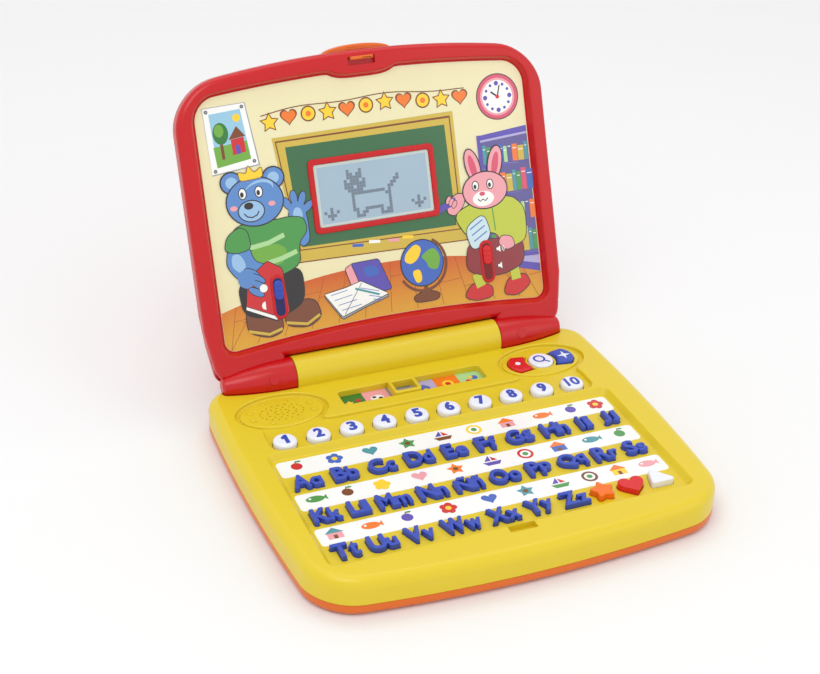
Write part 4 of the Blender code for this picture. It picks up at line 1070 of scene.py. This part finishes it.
def latch():
    """The finger tab on the lid's top edge and the hook that goes into the deck."""
    tab = Shape("latch_tab", "latch", LID, ORANGE, ["latch"], "orange_case")
    half = LATCH_HALF_WIDTH
    turns = [math.radians(6 * k) for k in range(31)]
    dome = [(half * math.cos(t), 229.2 + 5.3 * math.sin(t)) for t in turns]
    tab.pad([[(-half, 214), (half, 214)] + dome], SEAM_W - 4.4, SEAM_W - 0.5, 1.4, 6)
    for k in range(3):
        tab.pad([pill(0, 229.4 + 1.6 * k, 9 - k, 0.4, 0.35, 3)], SEAM_W - 1.0, SEAM_W - 0.2, 0.2, 2)
    tab.done()
    hook = Shape("latch_hook", "latch", LID, ORANGE, ["latch"], "orange_case")
    hook.pad([pill(0, HOOK_V, 8.6, 1.2, 0.6, 5)], 1.0, 7.2, 0.8, 5)
    hook.done()


# ---------------------------------------------------------------- the lid's picture

def corners_cut(points, share, passes):
    """A closed line with its corners cut round, a few times over."""
    rest = 1 - share
    for _ in range(passes):
        cut = []
        for (ax, av), (bx, bv) in zip(points, points[1:] + points[:1]):
            cut += [(ax * rest + bx * share, av * rest + bv * share),
                    (ax * share + bx * rest, av * share + bv * rest)]
        points = cut
    return points


class Art:
    """The printed picture: flat shapes laid over each other, each a hair above the last."""

    def __init__(self):
        self.names = list(PRINT)
        self.shape = Shape("lid_picture_print", "lid", LID, [PRINT[n] for n in self.names], ["lid_picture"],
                           "printed_picture")
        self.level = 0.02
        self.clip = picture_outline(-0.6)

    def put(self, color, *loops, step=0.004):
        self.shape.mark = self.names.index(color)
        self.level += step
        self.shape.fill(list(loops), self.level)

    def oval(self, color, x, v, rx, rv, turn=0.0):
        t = math.radians(turn)
        self.put(color, [(x + a * math.cos(t) - b * math.sin(t), v + a * math.sin(t) + b * math.cos(t))
                         for a, b in arc(0, 0, rx, rv, count=40)])

    def line(self, color, points, width):
        """A stroke along points, with square ends."""
        left, right = [], []
        for i, (x, v) in enumerate(points):
            (ax, av), (bx, bv) = points[max(i - 1, 0)], points[min(i + 1, len(points) - 1)]
            length = max(math.hypot(bx - ax, bv - av), 1e-6)
            nx, nv = -(bv - av) / length * width / 2, (bx - ax) / length * width / 2
            left.append((x + nx, v + nv))
            right.append((x - nx, v - nv))
        self.put(color, right + left[::-1])

    def rimmed(self, color, x, v, rx, rv, rim, turn=0.0, edge="black"):
        """An oval with a dark rim."""
        self.oval(edge, x, v, rx, rv, turn)
        self.oval(color, x, v, rx - rim, rv - rim, turn)

    def soft(self, color, points, passes=2):
        """A shape through points with its corners cut round."""
        self.put(color, corners_cut(points, 0.22, passes + 1))

    def outlined(self, color, points, edge="black", width=0.6, share=0.2, passes=3):
        """A shape with a dark line round it and its corners cut round."""
        area = sum(ax * bv - bx * av for (ax, av), (bx, bv) in zip(points, points[1:] + points[:1]))
        points = corners_cut(points if area > 0 else points[::-1], share, passes)
        self.put(edge, offset(points, width / 2))
        self.put(color, offset(points, -width / 2))

    def sheet(self, color, points):
        """A sheet of paper or a book cover: straight edges with a thin dark line."""
        self.outlined(color, points, "black", 0.5, 0.05, 1)


def wall_line(x):
    """Height of the line between wall and floor."""
    return 76.0 - 0.0011 * x * x if x < 0 else 76.0 - 0.00125 * x * x


def room(art):
    art.put("wall", art.clip)
    low = sorted(p for p in art.clip if p[1] < 55)
    edge = [(125.0 * k / 12, wall_line(125.0 * k / 12)) for k in range(12, -13, -1)]
    art.put("floor", low + edge)
    for k in range(-7, 8):
        x = 17.0 * k + 5
        foot = max(-121.0, min(121.0, x * 1.22 - 4))
        if abs(x) < 118:
            art.line("plank", [(x, wall_line(x)), (foot, 38.5 - 0.00048 * foot * foot)], 0.45)
            share = 0.3 + 0.13 * ((k * 5) % 4)
            left = (x + (foot - x) * share, wall_line(x) * (1 - share) + 38 * share)
            art.line("plank", [left, (left[0] + 17.5, left[1] + 1.2)], 0.4)


def blackboard(art):
    art.put("wood", [(-63, 92), (67, 88), (67, 178), (-72, 176)])
    art.put("brown", [(-61.5, 94), (65, 90.5), (64.5, 175), (-70, 173.5)])
    art.put("wood", [(-60.8, 94.5), (64, 91.2), (63.6, 173.5), (-69, 172.4)])
    art.put("board", [(-59.5, 96.5), (60.5, 94.5), (59.5, 169), (-63, 168.5)])
    art.put("brown", [(-64, 85.5), (69, 82), (69, 91.5), (-64, 95)])
    art.put("wood", [(-63.4, 86.3), (68.3, 82.8), (68.3, 90.7), (-63.4, 94.2)])
    for color, x, v in (("blue", -22, 91.8), ("white", -9, 92.6), ("pink", 6, 91.4), ("yellow", 17, 92.0)):
        art.line(color, [(x, v), (x + 8.5, v - 0.8)], 2.2)


def wall_picture(art):
    art.put("grey", [(-117.8, 155.4), (-82.6, 158.9), (-88.0, 203.6), (-119.4, 202.6)])
    art.put("white", [(-117.8, 156.2), (-83.6, 159.6), (-88.6, 203.2), (-119.0, 202.2)])
    art.put("sky", [(-115, 198), (-92, 199.5), (-88.4, 164), (-113.4, 160.5)])
    art.put("grass", [(-114.5, 175), (-90, 177), (-88.4, 164), (-113.4, 160.5)])
    art.line("brown", [(-108.5, 180), (-108, 166)], 2.2)
    art.oval("leaf", -108.2, 184, 5.6, 7.6)
    art.oval("grass", -109.2, 186, 3.4, 4.4)
    art.put("red", [(-101, 168), (-91.4, 169.4), (-92, 180), (-101.5, 179)])
    art.put("brown", [(-103, 179), (-90.6, 180.4), (-96.4, 188)])
    art.put("purple", [(-98.4, 168.4), (-95.2, 168.8), (-95.4, 175), (-98.6, 174.6)])
    art.oval("yellow", -95.5, 193.6, 2.8, 2.8)
    for x, v in ((-116.6, 199.8), (-90.6, 200.8), (-86.4, 162.2), (-115.2, 158.4)):
        art.rimmed("grey", x, v, 1.3, 1.3, 0.5)


def bunting(art):
    """A string of stars, hearts and dots across the top of the picture."""
    def height(x):
        return 190.5 - 0.00062 * x * x + 0.9 * math.sin(x * 0.09)
    art.line("brown", [(x, height(x) + 6.2) for x in range(-78, 84, 6)], 0.7)
    for k in range(11):
        x = -72 + 14.6 * k
        v = height(x)
        if k % 3 == 1:
            art.put("brown", heart_outline(x, v, 6.4, 32))
            art.put("orange", heart_outline(x, v, 5.3, 32))
        elif k % 3 == 2:
            art.rimmed("yellow", x, v, 5.6, 5.6, 1.0, edge="brown")
            art.oval("orange", x, v, 2.0, 2.0)
        else:
            art.put("brown", star_outline(x, v, 7.4, 0.52))
            art.put("yellow", star_outline(x, v, 6.0, 0.5))


def clock(art):
    x, v = 104, 184
    art.rimmed("rose", x, v, 17.0, 17.0, 0.7)
    art.oval("pink", x, v, 13.8, 13.8)
    art.oval("white", x, v, 12.2, 12.2)
    for k in range(12):
        t = math.radians(30 * k)
        size = 1.1 if k % 3 else 1.7
        art.oval("purple", x + 9.8 * math.cos(t), v + 9.8 * math.sin(t), size, size)
    art.line("black", [(x, v), (x - 5.0, v + 4.0)], 1.3)
    art.line("black", [(x, v), (x + 2.4, v + 8.2)], 1.0)
    art.oval("red", x, v, 1.5, 1.5)


def bookshelf(art):
    art.put("purple", [(84, 62), (124.6, 50), (124.6, 160.5), (84, 157)])
    art.put("lavender", [(86.4, 66), (124.6, 56), (124.6, 156), (86.4, 153.6)])
    names = ["teal", "green", "rose", "blue", "mint", "violet", "orange", "wood"]
    for row, (v0, v1) in enumerate(((136, 152), (114, 132), (92, 110), (68, 88))):
        art.put("violet", [(86.4, v0 - 1), (124.6, v0 - 2.4), (124.6, v1 + 2.4), (86.4, v1)])
        x = 87.5
        k = row * 3
        while x < 122:
            wide = 2.8 + (k * 5 % 4) * 0.7
            top = v1 - 2.5 - (k * 7 % 5) * 0.8
            art.put(names[k % 8], [(x, v0 - 0.6), (x + wide, v0 - 0.8), (x + wide, top), (x, top)])
            art.line("white", [(x + 0.6, top - 3), (x + wide - 0.6, top - 3)], 0.6)
            x += wide + 0.35
            k += 1
        art.line("purple", [(85, v0 - 2.2), (124.6, v0 - 4.0)], 2.6)
    art.line("purple", [(85, 61.6), (85, 157.4)], 2.4)


def bear(art):
    """The pupil on the left: a bear in a green striped jersey with a red book."""
    for points in ([(-107, 60), (-108, 42), (-92, 35.5), (-81, 39), (-81, 52)],
                   [(-79, 54), (-79, 42), (-62, 38.5), (-51, 45), (-54, 57), (-62, 60)]):
        art.outlined("shoe", points)
    art.line("wood", [(-107, 43), (-92, 38.4), (-82, 41)], 2.0)
    art.line("wood", [(-78.5, 44.6), (-63, 41.2), (-53, 46.4)], 2.0)
    art.outlined("black", [(-111, 80), (-109, 55), (-94, 50), (-84, 56), (-78, 50), (-62, 58), (-62, 86)])
    art.outlined("bear", [(-66, 127), (-68, 112), (-60, 96), (-53, 100), (-53, 116), (-55, 127)])
    for x, v, turn in ((-67, 129, 120), (-61.5, 132.5, 95), (-55.5, 131, 70), (-52, 125, 40)):
        art.rimmed("bear", x, v, 5.6, 2.9, 0.5, turn)
    art.oval("bear", -60, 123, 6.6, 6.6)
    art.oval("bearlight", -60, 120, 3.6, 5.4)
    art.outlined("green", [(-104, 120), (-116, 108), (-112, 80), (-88, 76), (-62, 84), (-62, 100), (-54, 108),
                           (-56, 118), (-66, 120), (-76, 119)])
    art.soft("grass", [(-100, 100), (-78, 103), (-70, 96), (-76, 86), (-98, 88)], 2)
    art.line("mint", [(-106, 104), (-96, 102), (-84, 103.5), (-72, 107.5)], 3.4)
    art.line("mint", [(-88, 89), (-76, 91), (-64, 94.5)], 3.4)
    art.outlined("bear", [(-114, 104), (-117, 92), (-111, 82), (-100, 74), (-87, 78), (-86, 88), (-96, 92),
                          (-99, 104)])
    art.soft("bearlight", [(-112, 99), (-113, 90), (-106, 84), (-102, 90), (-106, 99)], 2)
    art.outlined("green", [(-104, 118), (-114, 112), (-117, 102), (-108, 99), (-97, 101), (-98, 114)])
    art.outlined("red", [(-107, 58), (-103, 80), (-87, 91), (-76.5, 84), (-75, 52), (-85, 47)],
                 "black", 0.6, 0.06, 1)
    for x, v in ((-99, 84), (-95.6, 79.6), (-95, 74.6), (-97.6, 70)):
        art.rimmed("bear", x, v, 6.6, 2.9, 0.6, -32)
    art.oval("bear", -103.6, 80.5, 6.2, 6.8)
    art.sheet("white", [(-107, 58.5), (-85, 47.5), (-84.6, 50.4), (-106.4, 61)])
    for side in (-1, 1):
        art.rimmed("bear", -90 + side * 15.4, 149, 8.4, 8.0, 1.0)
        art.oval("bearlight", -90 + side * 15.4, 149, 4.2, 4.0)
    art.rimmed("bear", -90, 134, 21.4, 17.8, 0.9)
    art.oval("bearlight", -86, 142, 11.0, 6.4, 14)
    art.oval("bear", -87, 139.6, 11.4, 6.8, 14)
    crown = [(-99, 149), (-100, 156), (-94, 154), (-92, 160), (-88, 154), (-82, 158), (-82, 150)]
    art.outlined("yellow", crown, "brown", 0.5, 0.15, 2)
    art.rimmed("bearlight", -93.5, 127.6, 10.0, 7.9, 0.8)
    art.oval("black", -95, 131.4, 3.4, 2.5)
    art.line("black", [(-99, 126.5), (-97, 124), (-93.5, 123), (-89.6, 124.4), (-88, 127)], 0.9)
    for x in (-98.4, -86.4):
        art.rimmed("white", x, 140.4, 3.1, 4.2, 0.7)
        art.oval("black", x - 0.5, 139.8, 1.3, 1.9)
    art.oval("pink", -106, 131, 2.6, 1.8)
    art.oval("pink", -78, 131, 2.6, 1.8)


def bunny(art):
    """The pupil on the right: a bunny in a yellow-green jacket reading a sheet."""
    art.outlined("red", [(60, 40), (68, 50), (84, 46), (84, 37), (70, 35.6)])
    art.outlined("red", [(92, 37), (97, 49), (112, 51), (116, 42), (104, 34.5)])
    art.line("jacket", [(72, 56), (75, 46)], 7.5)
    art.line("jacket", [(103, 56), (104, 47)], 7.5)
    art.outlined("maroon", [(68, 82), (64, 60), (76, 54), (94, 52), (112, 58), (113, 78)])
    art.outlined("pink", [(54, 104), (60, 101), (68, 108), (70, 116), (63, 118), (55, 112)])
    art.line("purple", [(47, 107), (62, 113)], 5.0)
    for k in range(3):
        art.rimmed("pink", 56.0 + 2.2 * k, 113.6 - 1.8 * k, 3.4, 2.0, 0.5, 60)
    art.outlined("jacket", [(78, 110), (62, 104), (60, 98), (68, 84), (80, 86), (92, 84), (96, 72), (104, 72),
                            (116, 76), (117, 100), (106, 111)])
    art.line("green", [(90, 108), (91, 86)], 0.9)
    art.outlined("pink", [(92, 76), (98, 70), (106, 72), (104, 80), (95, 82)])
    art.outlined("paper", [(66, 91), (83, 101), (88, 82), (71, 72)])
    for k in range(3):
        art.line("blue", [(70.5 + k * 1.2, 89.5 - k * 4.6), (81.5 + k * 1.2, 95.6 - k * 4.6)], 0.8)
    for x, turn in ((78, 12), (96, -14)):
        art.rimmed("pink", x, 136, 6.2, 13.4, 0.9, turn)
        art.oval("rose", x, 135, 2.6, 9.4, turn)
    art.rimmed("pink", 86, 117, 18.4, 14.2, 0.9)
    art.oval("white", 84, 111, 8.6, 5.6)
    art.oval("rose", 83.4, 114.6, 2.3, 1.6)
    art.line("black", [(79.6, 111), (81.4, 109.2), (83.4, 110.6), (85.4, 109.2), (87.6, 111)], 0.8)
    for x in (78.6, 90.4):
        art.rimmed("white", x, 121, 2.9, 3.9, 0.7)
        art.oval("black", x - 0.4, 120.4, 1.2, 1.7)


def floor_things(art):
    """Globe, closed book and open notebook in front of the board."""
    art.outlined("brown", [(20, 47), (31, 51), (42, 47), (40, 42), (22, 42)])
    art.line("brown", [(31, 48), (31, 54)], 3.0)
    art.put("brown", arc(30, 70, 20.0, 20.6, -150, 60, 40) + arc(30, 70, 18.0, 18.6, 60, -150, 40))
    art.rimmed("blue", 30, 71, 17.2, 17.6, 0.8)
    art.soft("yellow", [(18, 80), (26, 86), (31, 82), (27, 74), (21, 71), (16, 74)], 1)
    art.soft("grass", [(29, 76), (40, 82), (45, 74), (42, 64), (35, 66), (33, 72)], 1)
    art.soft("yellow", [(21, 66), (28, 67), (29, 58), (24, 56)], 1)
    art.outlined("pink", [(-30, 76), (-24, 79), (-20, 62), (-25, 57)], "black", 0.5, 0.08, 1)
    art.sheet("purple", [(-25, 79), (-3.5, 79.5), (4.5, 56), (-17, 54)])
    art.soft("blue", [(-17, 75), (-6, 75.4), (-3.4, 68), (-14, 67)], 1)
    art.sheet("grey", [(-48, 58.4), (-30, 61), (-19, 64), (2, 51), (-18, 45.6), (-36, 39.6)])
    art.sheet("white", [(-48, 60), (-31, 62.4), (-19, 65.4), (1.6, 53), (-17, 47.4), (-36, 41.6)])
    art.line("grey", [(-18.5, 64), (-34, 43)], 0.7)
    for k in range(4):
        art.line("blue", [(-43 + k * 2.4, 58.4 - k * 4), (-28 + k * 3.2 - 2, 60.4 - k * 4)], 0.5)
        art.line("blue", [(-19 + k * 3.0 - 1, 60.4 - k * 3.2), (-6 + k * 0.6, 56.0 - k * 2.4)], 0.5)
    art.line("teal", [(-24, 60.5), (-6, 53.4)], 1.5)


def lid_picture():
    art = Art()
    sheet = Shape("lid_picture_sheet", "lid", LID, PRINT["wall"], ["lid_picture"], "printed_picture")
    sheet.pad([picture_outline(-0.4)], -0.3, 0.0, 0.05, 1)
    sheet.done()
    starts = {room: 0.01, blackboard: 0.14, wall_picture: 0.14, bunting: 0.14, clock: 0.14, bookshelf: 0.14,
              floor_things: 0.32, bear: 0.5, bunny: 0.6}
    for part, start in starts.items():
        art.level = start
        part(art)
    art.shape.done()


# ---------------------------------------------------------------- frame pieces, light and camera

def inner_materials():
    """The pieces inside the case stay as the frame has them, with their own finishes."""
    looks = {"battery_cells": SLEEVE, "speaker": BLACK, "main_board": BOARD, "lcd_module": PRINT["grey"]}
    for node, material in looks.items():
        mesh = frame["nodes"][node].data
        mesh.materials.clear()
        mesh.materials.append(material)


def area_light(name, place, target, size, power, color=(1, 1, 1)):
    light = bpy.data.lights.new(name, "AREA")
    light.shape = "RECTANGLE"
    light.size, light.size_y = size
    light.energy = power
    light.color = color
    obj = bpy.data.objects.new(name, light)
    obj.location = place
    obj.rotation_euler = (Vector(target) - Vector(place)).to_track_quat("-Z", "Y").to_euler()
    bpy.context.collection.objects.link(obj)


def studio():
    bm = bmesh.new()
    bmesh.ops.create_grid(bm, x_segments=4, y_segments=4, size=6.0)
    mesh = bpy.data.meshes.new("studio_floor")
    bm.to_mesh(mesh)
    bm.free()
    mesh.materials.append(moulded("pale floor", (237, 237, 237), 0.9, mottle=0.004))
    floor = bpy.data.objects.new("studio_floor", mesh)
    floor.location.z = -0.0004
    bpy.context.collection.objects.link(floor)
    world = bpy.data.worlds.new("studio")
    bpy.context.scene.world = world
    world.use_nodes = True
    world.node_tree.nodes["Background"].inputs["Color"].default_value = (1, 1, 1, 1)
    world.node_tree.nodes["Background"].inputs["Strength"].default_value = 0.92
    area_light("key", (-0.5, -0.5, 1.3), (0, 0.05, 0.05), (0.9, 0.7), 4.2)
    area_light("top", (0.2, 0.5, 1.5), (0, 0.05, 0.05), (1.4, 0.5), 2.6)
    area_light("fill", (0.9, -0.9, 0.7), (0, 0.05, 0.05), (0.8, 0.8), 1.2)
    bpy.context.scene.view_settings.view_transform = "Standard"


def camera():
    azimuth, elevation, roll = (math.radians(a) for a in (-23.005, 30.419, 1.646))
    aim = Vector((0.0249, 0.1634, 0)) + DECK.translation
    back = Vector((math.sin(azimuth) * math.cos(elevation), -math.cos(azimuth) * math.cos(elevation),
                   math.sin(elevation)))
    right = Vector((math.cos(azimuth), math.sin(azimuth), 0))
    up = back.cross(right)
    turned_right = right * math.cos(roll) + up * math.sin(roll)
    turned_up = up * math.cos(roll) - right * math.sin(roll)
    data = bpy.data.cameras.new("camera")
    data.lens, data.sensor_width = 73.0, 36.0
    obj = bpy.data.objects.new("camera", data)
    turn = Matrix((turned_right, turned_up, back)).transposed().to_4x4()
    obj.matrix_world = Matrix.Translation(aim + back * 1.2613) @ turn
    bpy.context.collection.objects.link(obj)
    bpy.context.scene.camera = obj


camera()
studio()
inner_materials()
deck_shell(letter_keys(), shape_keys(), number_keys(), function_keys())
speaker_relief()
mode_parts()
strip_icons()
bottom_case()
lid_shells()
display()
sliders()
latch()
lid_picture()
